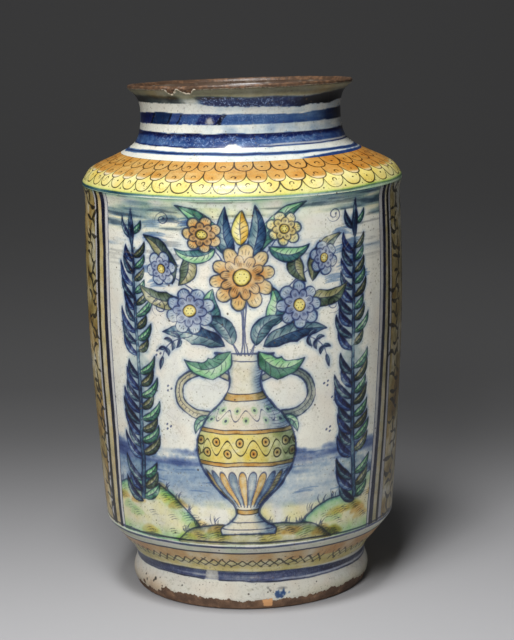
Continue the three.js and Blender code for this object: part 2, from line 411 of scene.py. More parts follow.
def band(values, low, high, soft=0.5):
    """1 between two limits and 0 outside them, with eased edges of the given width."""
    return ease((values - low) / soft + 0.5) * ease((high - values) / soft + 0.5)


def spot(s, angle, height, wide, tall):
    """1 at the middle of an ellipse of that half width and half height in millimetres, 0 at its edge."""
    return 1 - np.hypot(np.radians(s.angle - angle) * s.radius / wide, (s.height - height) / tall)


print("white glaze:", WHITE.round(3), "cobalt lets through", COBALT.round(3))

# %% [markdown]
# The neck carries three broad cobalt bands. The jar turned on a wheel while a loaded brush was held
# still, which is why the edges are level but never straight. Where the brush was set down again on the
# left, short slanted strokes lie over one another. The glaze under the lip is thin and olive grey, and
# the lip's edge has worn down to the clay, with two old chips.

# %% The neck's sheet and its hand
GLAZE_TOP = RIM - 1.2
LIP_CHIPS = ((-36.6, 9.6), (-27.4, 11.0))  # the middle of each chip in degrees, its width in millimetres
neck = Sheet(-180, 180, 259.6, GLAZE_TOP, 880, 96)


def neck_hand(s):
    """Streaks of the brush, cloudy loads of pigment, and the fine grain of the glaze."""
    a, z = s.angle, s.height
    return brushed(s, 11), wander(a, z * 1.6, 9, 12), wander(a, z, 2.2, 14, 2)


def neck_sides(a):
    """How far a place is to the left and to the right on the front: two plateaus with eased ends."""
    left = ease((-20 - a) / 6) * ease((120 + a) / 20)
    return left, ease((a - 26) / 26) * ease((160 - a) / 20)


print("the neck's sheet has", neck.angle.size, "points")

# %% [markdown]
# The upper band is darkest at the right, where the brush was full, and worn thin along a slant. Its edges
# are heights at a few angles, then made unsteady. One wavy line for both edges would look printed.

# %% The upper blue band
def upper_band(s):
    """A wash between two edges, thinned on a slant, with green at the left and soot at the right."""
    a, z = s.angle, s.height
    left, right = neck_sides(a)
    streak, cloud, grain = neck_hand(s)
    low = around(s, (-75, 291.4), (-58, 291.2), (-30, 290.9), (-22, 290.4), (-16, 289.3), (3, 288.4),
                 (21, 287.7), (35, 287.2), (42, 288.4), (58, 287.9), (71, 289.6), (120, 289), (-130, 290))
    high = around(s, (-65, 295.4), (-34, 295.1), (-13, 294.4), (5, 293.3), (18, 293.7), (35, 292.6),
                  (48, 293.2), (66, 294.9), (130, 294), (-130, 295)) + hand(s, 0.2, 2, 9)
    one = ease((z - low - 0.25 * grain) / 0.6 + 0.5) * ease((high - z) / 1.6 + 0.5)
    thin = 1 - 0.85 * band(a + 0.8 * (z - 292), -33, -22, 6)
    s.wash(one * thin * (2.5 - 1.6 * left - 0.6 * right + 0.35 * streak + 0.35 * cloud), COBALT)
    s.wash(one * thin * left * (0.9 + 0.3 * cloud), OLIVE)
    s.wash(one * thin * (0.25 + 0.35 * left + 1.9 * right + 1.0 * ease((-56 - a) / 12) * left), GREY_AND_SHADE)
    s.wash(one * right * 0.9, INDIGO)
    s.pale = np.maximum(s.pale, one * ease((a + 23) / 4) * ease((40 - a) / 24))


upper_band(neck)
print("upper band: tint down to", neck.tint.min().round(3))

# %% [markdown]
# The middle band was pulled in short strokes that overlap. Each is a stretch of a slanted angle with its
# own pigment, and each overlap a dark seam. Where the band was rubbed, the white shows through.

# %% The middle blue band
SLANTED_STROKES = (  # from and to in degrees, the pigment and how much of it
    (-80, -57.6, INDIGO, 1.25), (-58.4, -42.6, TEAL, 1.25), (-43.4, -35.6, INDIGO, 0.35),
    (-36.2, -9.4, COBALT, 0.35), (-24, -9.4, INDIGO, 0.75), (-12, -9.2, GREY_AND_SHADE, 1.1),
    (112, 131, INDIGO, 0.7), (146, 166, TEAL, 0.8),
)


def middle_band(s):
    """A wash of cobalt, then its slanted strokes with their dark seams, then the worn place."""
    a, z = s.angle, s.height
    right = neck_sides(a)[1]
    streak, cloud, grain = neck_hand(s)
    low = around(s, (-76, 278), (-55, 278.5), (-36, 278.6), (4, 278.4), (50, 278.6), (72, 278.5))
    low = low + hand(s, 0.15, 3, 7)
    high = around(s, (-76, 284.4), (-62, 285.2), (-50, 285.9), (-36, 285), (-24, 284.8), (4, 284.3),
                  (36, 283.3), (44, 284.1), (59, 284.6), (76, 285.1), (130, 284), (-130, 284.5))
    high = high + hand(s, 0.15, 4, 7)
    two = band(z, low + 0.2 * grain, high, 0.5)
    s.wash(two * (1.75 + 0.35 * streak + 0.2 * cloud + 0.5 * ease((a - 50) / 24) * right), COBALT)
    s.wash(two * 1.1 * ease((a - 42) / 34) * right, GREY_AND_SHADE)
    slant = a - (z - 281.5) * 0.55 + 0.5 * grain
    for start, end, pigment_used, amount in SLANTED_STROKES:
        s.wash(two * band(slant, start, end, 0.8) * amount, pigment_used)
    for border in (-58, -43, -36):
        s.wash(two * band(slant, border - 0.7, border + 0.5, 0.7) * 0.9, GREY_AND_SHADE)
    worn = ease(1.4 * spot(s, -17.2, 280.3, 2.6, 2.6) + 0.35 * grain + 0.25)
    s.wear(two * worn * 0.42)
    s.pale = np.maximum(s.pale, two * band(slant, -36, 22, 8) * 0.5)


middle_band(neck)
print("middle band:", len(SLANTED_STROKES), "strokes, tint down to", neck.tint.min().round(3))

# %% [markdown]
# Thick cobalt pools along the top of the lower band. It boils in the kiln and leaves a pale foam, so the
# band is marked as foamy here and the material breaks it up later. Below runs one fine ring line. It is
# both a wash and a drawn line, because the wash gives it a soft shoulder.

# %% The lower blue band and the ring line
def lower_band(s):
    """A wash that deepens towards the top, a dark rim below, a rubbed line, and a notch wiped out."""
    a, z = s.angle, s.height
    left = neck_sides(a)[0]
    streak, cloud, grain = neck_hand(s)
    low, high = 266.1 + hand(s, 0.2, 6, 12), 273.4 + 0.25 * left + hand(s, 0.25, 7, 14)
    three = band(z, low, high, 0.5)
    top = ease((z - 270.4 - 0.8 * cloud - 0.5 * grain) / 2)
    rim = band(z, low - 0.3, low + 0.7, 0.5)
    s.wash(three * (1.8 + 1.7 * top + 0.4 * streak + 0.45 * cloud), COBALT)
    s.wash(three * rim * 0.9, COBALT)
    s.wash(three * (0.45 * top + 0.5 * rim * left + 0.35 * ease((a - 40) / 30)), INDIGO)
    s.wear(three * band(z, low + 0.75, low + 1.5, 0.5) * ease((a - 8) / 10) * ease((170 - a) / 20) * 0.5)
    s.pale = np.maximum(s.pale, three * ease((62 - abs(a + 4)) / 26) * (0.8 - 0.6 * top) * (1 - rim))
    for start, end, amount in ((284, 292, 0.22), (273, 279, 0.3), (259, 266, 0.08)):
        shade = ease((a + 34) / 30) * (0.85 + 0.4 * cloud + 0.3 * streak) + 0.15
        s.wash(band(z, start, end, 1.2) * amount * shade, COBALT)
    notch = ease(2.4 * spot(s, -4.6, 265.4, 5.3, 2.7) + 0.4 * grain)
    s.wear(notch)
    s.pale *= 1 - notch


lower_band(neck)


def ring_line(s):
    """A line at heights given round the jar, its half width swelling to the left."""
    a, z = s.angle, s.height
    streak, _, grain = neck_hand(s)
    line = around(s, (-80, 262), (-57, 262.9), (-37, 263.2), (-22, 263.2), (3, 262.9), (24, 262.8),
                  (53, 262.5), (82, 261.7))
    thick = 0.42 + 0.2 * ease((-30 - a) / 30) * ease((120 + a) / 20) + 0.06 * streak
    off = abs(z - line + hand(s, 0.12, 8, 12))
    s.wash(ease((thick + 0.3 - off) / 0.4 + 0.5) * (1.7 + 0.4 * streak), COBALT)
    s.draw("cobalt", thick * 0.5 - off)
    edge = around(s, (26, 260.1), (49, 261), (67, 260.9), (90, 260.2)) + 0.1 * grain
    s.wash(band(z, 259, edge, 0.5) * ease((a - 27) / 7) * ease((150 - a) / 10) * 2.2, COBALT)


ring_line(neck)
print("ring line: drawn on", round(float((neck.cobalt > 0).mean()), 3), "of the neck")

# %% [markdown]
# Under the lip the glaze ran thin and turned olive grey. On the edge it wore away to brown clay, and two
# old chips go deeper: half ellipses hung from the rim, made rough by noise. A chip marks the glaze as lost
# and sinks the sheet, so that the light catches its edge.

# %% The worn lip
def worn_neck_top(s):
    """Washes that come in with height, then the bare edge, then the two chips."""
    a, z = s.angle, s.height
    right, cloud = neck_sides(a)[1], neck_hand(s)[1]
    s.wash(ease((z - 292.2) / 2.6) * (0.86 - 0.15 * right + 0.15 * cloud), OLIVE)
    s.wash(ease((z - 294.6) / 2) * (0.3 - 0.15 * right), GREY_AND_SHADE)
    s.wash(band(z, 292.6, 296.4, 2) * (0.15 + 0.2 * right), GREY_AND_SHADE)
    s.wash(ease((z - 298.2) / 1.0) * 0.7, BISTRE)
    s.draw("bare", z - (RIM - 1.9) + hand(s, 0.35, 10, 8))
    s.draw("ink", 0.2 - abs(s.bare + 0.4))
    for (middle, width), depth, deep in zip(LIP_CHIPS, (1.5, 1.2), (4.6, 4.2)):
        across = np.radians(a - middle) * LIP_RADIUS / (width / 2)
        down = (RIM - z) / deep
        rough = 0.16 * wander(a, z * 1.5, 4, int(-middle))
        bite = 1 - np.hypot(across * (1 + 0.25 * down), down) + rough
        s.draw("bare", bite * 3.4)
        s.pale[(bite > -0.4) & (z > 288)] = -1
        s.sink += depth * ease(bite * 1.5)
    s.sink += 0.3 * ease(s.bare / 0.5 + 0.5) + 0.1 + 0.08 * wander(a * 0.2, s.along, 9, 13)


worn_neck_top(neck)
print("neck: tint from", neck.tint.min().round(3), "to 1, sunk at most", neck.sink.max().round(2), "mm")

# %% [markdown]
# The shoulder is a cone with three rows of overlapping scales, an old border for such jars. A painter
# spaces scales by eye, closer in one place and wider in another. So the middles of the scales that show
# are given as angles, and the rest run on evenly behind. Each scale is the lower part of a rounded box:
# the distance to its edge is a sum of powers of the two ways from its middle, over the slope of that sum.

# %% Overlapping scales
shoulder = Sheet(-180, 180, 241.6, 259.6, 1240, 76)
SCALES = 46
SCALE_MIDDLES = (
    (-64.2, -56.5, -50, -42.8, -36.3, -29.3, -22.8, -15.6, -7.6, 1, 8.6, 16.2, 24.6, 33.2, 42, 50.2),
    (-60.4, -53.5, -46.8, -39.8, -33, -26, -18.5, -10.6, -2.6, 5.9, 12.9, 20.4, 28.7, 37.7, 46),
    (-64, -57.2, -50, -43.5, -37, -29.6, -22.2, -14.2, -6.4, 2.1, 9.3, 17.2, 25.4, 33.8, 42.3, 50.5,
     59.6, 68.4),
)


def scale_count(s, row):
    """The scales of a row counted round the jar, whole at the middle of each one."""
    middles = SCALE_MIDDLES[row]
    turn = (s.angle - middles[0]) % 360 + middles[0]
    return np.interp(turn, [*middles, middles[0] + 360], [*range(len(middles)), SCALES])


def scale_row(s, row, tip, deep, seed):
    """How far each point is inside its scale, its place from the middle, and the scale's number: one less
    the two shares to the power of 2.4, divided by its slope."""
    count = scale_count(s, row) + 0.03 * wander(s.angle, np.zeros_like(s.angle), 9, seed)
    whole = np.round(count).astype(np.int64)
    near = tip + 0.9 * (chance(whole % SCALES, whole * 0, seed) - 0.5)
    wide = np.pi * s.radius / SCALES
    x, rise = (count - whole) * 2 * wide, s.along - near
    u, v = abs(x) / wide, np.clip((deep - rise) / deep, 0, None)
    slope = 2.4 * np.hypot(u**1.4 / wide, v**1.4 / deep) + 1e-3
    return (1 - u**2.4 - v**2.4) / slope, x, rise, whole % SCALES


print("scales:", SCALES, "in a row,", [len(row) for row in SCALE_MIDDLES], "of them placed by eye")

# %% [markdown]
# The rows are painted from the top down, and each hides what lies under it, as roof tiles do. A scale gets
# an outline, a small hook or dot, and orange or yellow. Modelled scales would stand out from the glaze.

# %% Paint the shoulder
def shoulder_hand(s):
    """Streaks, clouds and grain, and how far a place is to the left and to the right on the front."""
    a = s.angle
    west, east = ease((-30 - a) / 24) * ease((130 + a) / 20), ease((a - 22) / 26) * ease((160 - a) / 20)
    return brushed(s, 21), wander(a, s.along, 11, 22), wander(a, s.along, 1.8, 26, 2), west, east


def paint_scales(s):
    """Outline, hook or dot, and wash for each scale of the three rows. Returns what they cover."""
    a = s.angle
    streak, cloud, grain, west, east = shoulder_hand(s)
    top = along_at(259.7) + hand(s, 0.2, 23)
    under_top = ease((top - s.along) / 0.4 + 0.5)
    tips = [along_at(255.4), along_at(250.4), along_at(245.1)]
    covered = np.zeros(a.shape, bool)
    for row, tip in enumerate(tips):
        inside, x, rise, which = scale_row(s, row, tip, (8.6, 9.4, 8.8)[row], 30 + row)
        luck = [chance(which, which * 0 + row, k) for k in (41, 42, 43, 44, 45)]
        free = ~covered & (s.along < top)
        pen = 0.3 + 0.14 * luck[0] + 0.08 * cloud
        s.draw("ink", np.where(free, pen - abs(inside), NO_LINE))
        x, y = x - 1.0 * (luck[2] - 0.5), rise - 4.6 - 0.8 * (luck[1] - 0.5)
        far, turn = np.hypot(x, y), np.arctan2(y, x) + 1.5 * luck[3] - 0.4
        hook = 0.34 - abs(far - 1.15) - 1.2 * ease(np.cos(turn - 5.0) * 2 - 1.0)
        dot = 0.75 - np.hypot(x, y * 1.3) + 0.15 * grain
        s.draw("ink", np.where(free & (inside > 0.6), np.where(luck[4] > 0.35, hook, dot), NO_LINE))
        own = (free & (inside > 0)) * under_top
        if row < 2:
            full = ease((rise - 1.0 + 0.3 * cloud) / 2.2) if row else ease((rise + 2) / 2)
            s.wash(own * full * (0.95 + 0.2 * cloud + 0.12 * streak + 0.25 * east), ORANGE)
            s.wash(own * full * west * (0.15 + 0.2 * ease((-44 - a) / 16)), OCHRE)
            s.wash(own * (1 - full) * 0.22, ORANGE)
            s.wash(own * 0.25 * east, OCHRE)
        else:
            s.wash(own * (0.85 + 0.25 * cloud + 0.1 * east), YELLOW)
            s.wash(own * 0.12 * (0.6 + cloud), ORANGE)
        covered |= inside > 0
    s.draw("ink", 0.16 + 0.12 * west + 0.08 * streak - abs(s.along - top))
    return covered


def paint_shoulder_edge(s, covered):
    """The yellow ground between the lowest tips, their dots, and the blue and green line of the edge."""
    a = s.angle
    streak, cloud, grain, west, east = shoulder_hand(s)
    edge = along_at(243.15) + 0.55 * east + hand(s, 0.3, 24, 20)
    ground = ~covered * ease((s.along - edge) / 0.6 + 0.5)
    s.wash(ground * (0.85 + 0.2 * cloud), YELLOW)
    s.wash(ground * 0.12, GREEN)
    count = scale_count(s, 1)
    off = (count - np.round(count)) * 2 * np.pi * s.radius / SCALES
    speck = 0.5 - np.hypot(off, s.along - along_at(245.3)) + 0.2 * grain
    s.draw("ink", np.where(covered, NO_LINE, speck))

    rim = band(s.along, edge - 0.95 - 0.5 * west, edge + 0.15, 0.6)
    s.wash(rim * (0.75 + 0.7 * west + 0.3 * streak), TEAL)
    s.wash(rim * (0.55 * west + 0.6 * cloud * west), COBALT)
    s.wash(band(s.along, edge - 0.5, edge + 0.9, 0.9) * (0.35 + 0.35 * east), GREEN)
    s.wash(rim * east * 0.6, OLIVE)
    under_edge = band(s.along, along_at(241.0), edge - 0.6, 0.6)
    s.wash(under_edge * (0.25 + 0.35 * west + 0.3 * east + 0.3 * cloud), GREEN)
    s.sink += 0.1 + 0.08 * wander(a * 0.2, s.along, 9, 25)


paint_shoulder_edge(shoulder, paint_scales(shoulder))
print("shoulder: three rows of", SCALES, "scales,", (shoulder.ink > 0).mean().round(3), "of it under ink")

# %% [markdown]
# Below the body the wall turns in over a bevel and a hollow to the foot. Here run two fine lines, an
# orange and a yellow band with a row of crosses drawn over their meeting, and a dark blue band. The
# lowest strip was wiped clean before firing so that the jar would not stick to the kiln shelf.

# %% The lines and bands over the foot
foot = Sheet(-180, 180, 0.9, 44.3, 960, 96)


def foot_hand(s):
    """Streaks of the brush, cloudy loads of pigment, and the fine grain of the glaze."""
    a = s.angle
    return brushed(s, 51), wander(a, s.along, 10, 52), wander(a, s.along, 2.0, 69, 2)


def foot_sides(a):
    """How far a place is to the right and to the left on the front: two plateaus with eased ends."""
    return ease((a - 10) / 40) * ease((160 - a) / 20), ease((-36 - a) / 20) * ease((130 + a) / 20)


def foot_bands(s):
    """Faint greens at the bevel, two fine double lines, then orange above a wavering split and yellow."""
    a, z = s.angle, s.height
    east, west = foot_sides(a)
    streak, cloud, _ = foot_hand(s)
    s.wash(band(z, 38.6, 42, 1.0) * (0.1 + 0.2 * cloud), GREEN)
    s.wash(band(z, 38.6, 42, 1.0) * (0.08 + 0.25 * west), OLIVE)
    s.wash(band(z, 42.6, 46, 1.0) * (0.15 + 0.2 * cloud), GREEN)
    line = around(s, (-75, 42.2), (-50, 42.8), (-34, 43.2), (-7, 42.7), (4, 42.5), (17, 42.9),
                  (39, 43.5), (60, 43.6))
    s.draw("cobalt", 0.72 + 0.1 * streak - abs(z - line + hand(s, 0.1, 53, 9)))
    s.draw("ink", 0.18 + 0.1 * streak - abs(z - line + hand(s, 0.1, 53, 9)))
    line = around(s, (-72, 36), (-54, 37.6), (-36, 38.4), (-21, 38.4), (-4, 38), (29, 38.1),
                  (50, 38), (120, 38))
    s.draw("cobalt", 0.6 + 0.1 * streak - abs(z - line + hand(s, 0.12, 54, 9)))
    s.draw("ink", 0.24 + 0.1 * streak - abs(z - line + hand(s, 0.12, 54, 9)))
    split = 31.4 - 1.2 * east + hand(s, 0.4, 55)
    orange = band(z, split, line, 0.9)
    s.wash(orange * (0.38 + 0.2 * cloud - 0.1 * east), ORANGE)
    s.wash(orange * (0.15 + 0.25 * east + 0.25 * west + 0.15 * cloud), RUST)
    yellow = band(z, 23, split, 0.9)
    s.wash(yellow * (0.45 + 0.25 * cloud), YELLOW)
    s.wash(yellow * (0.06 + 0.18 * streak + 0.15 * east), OCHRE)
    s.wash(yellow * (0.05 + 0.2 * west + 0.2 * cloud), OLIVE)


foot_bands(foot)
print("foot: tint down to", foot.tint.min().round(3), "under the bands")

# %% [markdown]
# A row of crosses lies over the meeting of orange and yellow, with one left out now and then. Each lives
# in one cell of a ring, and its strokes are distances to slanted lines through the middle of the cell.

# %% The row of crosses
CROSSES = 88
CROSS_PITCH = 5.35  # millimetres between two crosses of the same lean


def foot_crosses(s):
    """Slanted strokes of both leans, cut off at a reach that differs from cell to cell."""
    a = s.angle
    east, grain = foot_sides(a)[0], foot_hand(s)[2]
    count = a / 360 * CROSSES + 0.16 * wander(a, 0 * s.height, 16, 56)
    cell = np.floor(count).astype(np.int64)
    across = (count - cell - 0.5) * 2 * np.pi * s.radius / CROSSES
    rise = s.along - along_at(30.1) + 1.4 * east - hand(s, 0.5, 57)
    kept = chance(cell % CROSSES, cell * 0, 58)
    reach = 4.1 + 1.6 * (kept - 0.5) - abs(rise)
    for side, seed in ((1, 59), (-1, 60)):
        luck = chance(cell % CROSSES, cell * 0, seed)
        along = across - side * (0.62 + 0.3 * luck) * rise
        near = along - np.round(along / CROSS_PITCH) * CROSS_PITCH
        pen = np.minimum(0.5 + 0.12 * grain - abs(near) * 0.8, reach)
        s.draw("ink", np.where(kept > 0.07, pen, NO_LINE))


foot_crosses(foot)
print("crosses:", CROSSES, "cells,", round(float((foot.ink > 0).mean()), 3), "of the foot under ink")

# %% [markdown]
# The dark blue band fills the hollow over the foot, down to a drawn line. The roll below has a smudge of
# cobalt, stains from the kiln shelf, and a strip wiped bare. Its edge is ragged in small steps, as dry
# glaze breaks off. Smooth noise would make it look torn.

# %% The dark blue band and the bare strip
def foot_blue_band(s):
    """Three pigments between two wandering edges, thinned by the pale streak and the rubbed patch."""
    a, z = s.angle, s.height
    east, west = foot_sides(a)
    streak, cloud, grain = foot_hand(s)
    high = around(s, (-75, 22), (-52, 23.2), (-34, 24.2), (-6, 24), (9, 23.6), (26, 22.8),
                  (40, 22), (62, 20.6), (120, 22.5))
    low = around(s, (-62, 17.4), (-41, 18), (-16, 17.5), (-6, 17.2), (9, 16.4), (22, 16),
                 (53, 15.8), (67, 15.3), (120, 16.5))
    low, high = low + hand(s, 0.15, 61, 9), high + hand(s, 0.25, 62)
    blue = band(z, low + 0.6, high, 0.6)
    pale = band(z, low + 0.55, low + 1.9, 0.5) * ease((a - 6) / 8) * ease((170 - a) / 20)
    patch = ease((-14 - a) / 6) * ease((44 + a) / 12)
    pale = np.maximum(pale, 0.6 * band(z, low + 2.2, low + 3, 0.6) * patch)
    s.wash(blue * (0.75 + 0.4 * streak + 0.2 * cloud) * (1 - 0.7 * pale), INDIGO)
    top = 0.5 * band(z, high - 1.6, high, 0.8)
    s.wash(blue * (0.45 + 0.35 * streak + 0.25 * grain + top) * (1 - 0.7 * pale), COBALT)
    s.wash(blue * (0.2 + 0.4 * east + 0.3 * west) * (1 - pale), GREY_AND_SHADE)
    lost = ease((a + 23.5 + 1.5 * grain) / 3) * ease((-15.4 - a) / 0.9)
    lost = lost * (0.75 + 0.35 * cloud + 0.15 * grain)
    s.wear(blue * lost * 0.75)
    s.draw("cobalt", 0.5 + 0.15 * streak - abs(z - low - 0.2) - 0.8 * lost)
    s.draw("ink", 0.2 + 0.15 * streak - abs(z - low - 0.2) - lost)
    s.pale = np.maximum(s.pale, blue * 0.35)


foot_blue_band(foot)


NICKS = ((-46.5, 6.4, 2.2, 1.4), (-51, 3.6, 2.8, 1.6), (-58.5, 4.6, 1.6, 1.2), (-64, 6.4, 2.4, 1.0))
SPECKS = (
    (-53.3, 11.6, 1.3), (-54.4, 10.0, 0.8), (-62.3, 11.4, 0.7), (-35, 12, 0.6), (32.5, 12.8, 0.5),
    (-50, 12.8, 0.5), (-47.5, 8.6, 0.6), (-60.5, 9.0, 0.9), (7.5, 10.8, 0.6),
)


def foot_wear(s):
    """The smudge and the stains as washes, then the bare strip, its nicks, the specks and one flake."""
    a, z = s.angle, s.height
    east, west = foot_sides(a)
    _, cloud, grain = foot_hand(s)
    smudge = ease(1.5 * spot(s, 14.5, 9.3, 4.8, 2.2) + 0.9 * grain + 0.3 * cloud)
    s.wash(smudge * (0.35 + 1.3 * ease(grain * 3)), COBALT)
    s.wash(ease(1.5 * spot(s, 14.5, 12.4, 4, 1.2)) * 0.35, GREY_AND_SHADE)
    s.wash(ease(1.5 * spot(s, 8, 10.2, 3, 4) + 0.3 * cloud) * ease(grain * 2.4 - 0.5) * 0.9, GREY_AND_SHADE)

    blush = wander(a, s.along, 26, 63)
    s.wash(ease((17 - z) / 2) * (0.25 + 0.25 * blush), BLUSH)
    s.wash(ease((15 - z) / 9) * (0.02 + 0.16 * blush + 0.2 * west), RUST)
    s.wash(ease((13 - z) / 8) * (0.02 + 0.4 * east + 0.2 * west), OLIVE)
    edge = around(s, (-86, 3), (-57, 5), (-52, 4), (-48, 5.6), (-45, 8.4), (-42, 7.2), (-30, 7.6),
                  (-17, 7.2), (-6, 5.9), (5, 6.5), (17, 5.7), (30, 5.7), (34.5, 6.1), (45, 7.2),
                  (51, 7.2), (70, 5.4), (110, 4.6), (-130, 5))
    steps = np.round((hand(s, 0.9, 65, 3.4) + hand(s, 0.5, 66, 8)) * 2) / 2
    s.bare = edge + steps - z
    for middle, high, wide, tall in NICKS:
        s.draw("bare", (spot(s, middle, high, wide, tall) + 0.5 * grain) * 1.2)
    for middle, high, wide in SPECKS:
        s.draw("ink", (spot(s, middle, high, wide, wide) + 0.3 * grain) * wide)
    flake = band(np.radians(a - 7.2) * 71 + 0.7 * grain + 0.12 * z, -2.4, 3.2, 0.5)
    flake = flake * band(z + 0.5 * grain, 2.2, 6.7, 0.5)
    s.draw("bare", np.where(flake > 0.5, 1.0, NO_LINE))
    s.pale = np.where(s.bare > -0.3, 1.4 * flake + 0.2 * ease(cloud), s.pale)
    s.sink += 0.3 * ease(s.bare / 0.6 + 0.5) + 0.1 + 0.08 * wander(a * 0.2, s.along, 9, 68)


foot_wear(foot)
print("foot: glaze lost on", (foot.bare > 0).mean().round(3), "of the sheet")

# %% [markdown]
# Each side has an upright frame: a fine line, a navy and an ochre stripe, and a broad ochre border of
# dark brushed leaves. Only the near third of the border shows in the picture, so the rest of it carries
# the same leaves, mirrored about its middle. A pointed brush leaves a stroke that swells and dwindles. So
# a stroke here is the distance to a drawn line, taken from a half width that follows a sine.

# %% Brush strokes
def nearest(x, y, line):
    """The distance from each place to a drawn line, and how far along the line, from 0 to 1, by the foot
    of the perpendicular on each stretch."""
    p, d = line[:-1], np.diff(line, axis=0)
    x, y = x[..., None] - p[:, 0], y[..., None] - p[:, 1]
    t = np.clip((x * d[:, 0] + y * d[:, 1]) / ((d**2).sum(1) + 1e-9), 0, 1)
    gap = np.hypot(x - t * d[:, 0], y - t * d[:, 1])
    best = gap.argmin(-1)[..., None]
    share = (best[..., 0] + np.take_along_axis(t, best, -1)[..., 0]) / len(p)
    return np.take_along_axis(gap, best, -1)[..., 0], share


def window(s, line, spare):
    """The part of a sheet that a drawn line can reach, as a pair of slices."""
    (left, low), (right, high) = line.min(0) - spare, line.max(0) + spare
    i = np.searchsorted(s.x[:, 0], (left, right))
    j = np.searchsorted(s.y[0], (low, high))
    return slice(*i), slice(*j)


def stroke(s, line, width, taper=0.7, mark="cobalt"):
    """Draw with a pointed brush: the half width swells and dwindles by a sine along the line."""
    line = np.asarray(line, float)
    part = window(s, line, width + 1.5)
    if s.x[part].size:
        gap, share = nearest(s.x[part], s.y[part], line)
        swell = 1 - taper + taper * np.sin(np.pi * share)
        kept = getattr(s, mark)[part]
        np.maximum(kept, width * swell - gap, out=kept)


def dab(s, line, width, colour, amount, soft=0.8, taper=0.6):
    """A stroke of thin paint: the same shape, but it washes the tint instead of drawing a line."""
    line = np.asarray(line, float)
    part = window(s, line, width + 2)
    if s.x[part].size:
        gap, share = nearest(s.x[part], s.y[part], line)
        swell = 1 - taper + taper * np.sin(np.pi * share)
        s.tint[part] *= colour ** (amount * ease((width * swell - gap) / soft + 0.5))[..., None]


def bent(start, end, bow, steps=10):
    """A curve between two places that bows to its left by the given share of its length."""
    start, end = np.array(start, float), np.array(end, float)
    t = np.linspace(0, 1, steps + 1)[:, None]
    side = (end - start)[::-1] * (-1, 1)
    return start + (end - start) * t + side * bow * 4 * t * (1 - t)


Sheet.stroke, Sheet.dab = stroke, dab
print("a bowed stroke of 10 steps:", bent((0, 0), (10, 0), 0.1).max(0).round(2), "mm is its far corner")

# %% [markdown]
# The stripes widen and narrow where a hand drew them, so their edges are angles at five heights. Each
# stripe lies between two edges: a fine line, white, navy, ochre, near black, white, and the border's
# ground. The side sheets crowd their columns at the front. All panels share the lines at their ends.

# %% The side frames' stripes
PANEL_LOW, PANEL_HIGH, PANEL_SPLIT, PANEL_END = 44.3, 241.6, 143, 50
FRAME_HEIGHTS = (58, 101, 133, 209, 238)
FRAME_EDGES = (  # degrees from the front at those heights: line, navy, ochre, dark, white, border
    ((57.2, 55.6, 55.5, 54.6, 54.9), (59, 57.4, 57.2, 56.5, 57), (61, 59.7, 59.8, 58.5, 59.8),
     (64.2, 63.3, 63.2, 61.2, 62.2), (67.0, 65.2, 65, 63.5, 64), (68.6, 66.8, 66.4, 64.8, 65.3)),
    ((51.0, 53.1, 54, 55.6, 55.9), (52.4, 54.9, 55.8, 57.8, 58), (55.1, 57, 57.9, 59.8, 60.2),
     (57.8, 60, 60.4, 61.5, 61.5), (59.5, 61.4, 61.9, 63.2, 63.2), (62, 63.2, 63.5, 64.6, 64.6)),
)
sides = {
    "right": Sheet(50, 130, PANEL_LOW, PANEL_HIGH, 220, 308, (50, 76, 104, 130)),
    "left": Sheet(-130, -50, PANEL_LOW, PANEL_HIGH, 220, 308, (-130, -104, -76, -50)),
}


def border_lines(s):
    """The line over the body's lower corner, the green edge at its top, and the glaze's soft waves."""
    z, streak = s.height, brushed(s, 58)
    line = around(s, (-75, 45.2), (-47, 45.6), (-34, 46), (-10, 45.8), (4, 45.4), (27, 45.6),
                  (39, 45.1), (60, 45.3))
    blot = ease((-32 - s.angle) / 10) * ease((62 + s.angle) / 6) * (0.35 + 0.3 * hand(s, 1, 59, 5))
    s.draw("cobalt", 0.62 + 0.08 * streak + blot - abs(z - line + hand(s, 0.1, 57, 9)))
    s.draw("ink", 0.2 + 0.1 * streak - abs(z - line + hand(s, 0.1, 57, 9)))
    s.wash(band(z, 239.9, 242, 1.2) * (0.3 + 0.2 * streak), GREEN)
    s.wash(band(z, 240.9, 242, 0.7) * (0.5 + 0.3 * streak), TEAL)
    s.sink += 0.1 + 0.06 * wander(s.angle * 0.2, s.along, 12, 60)


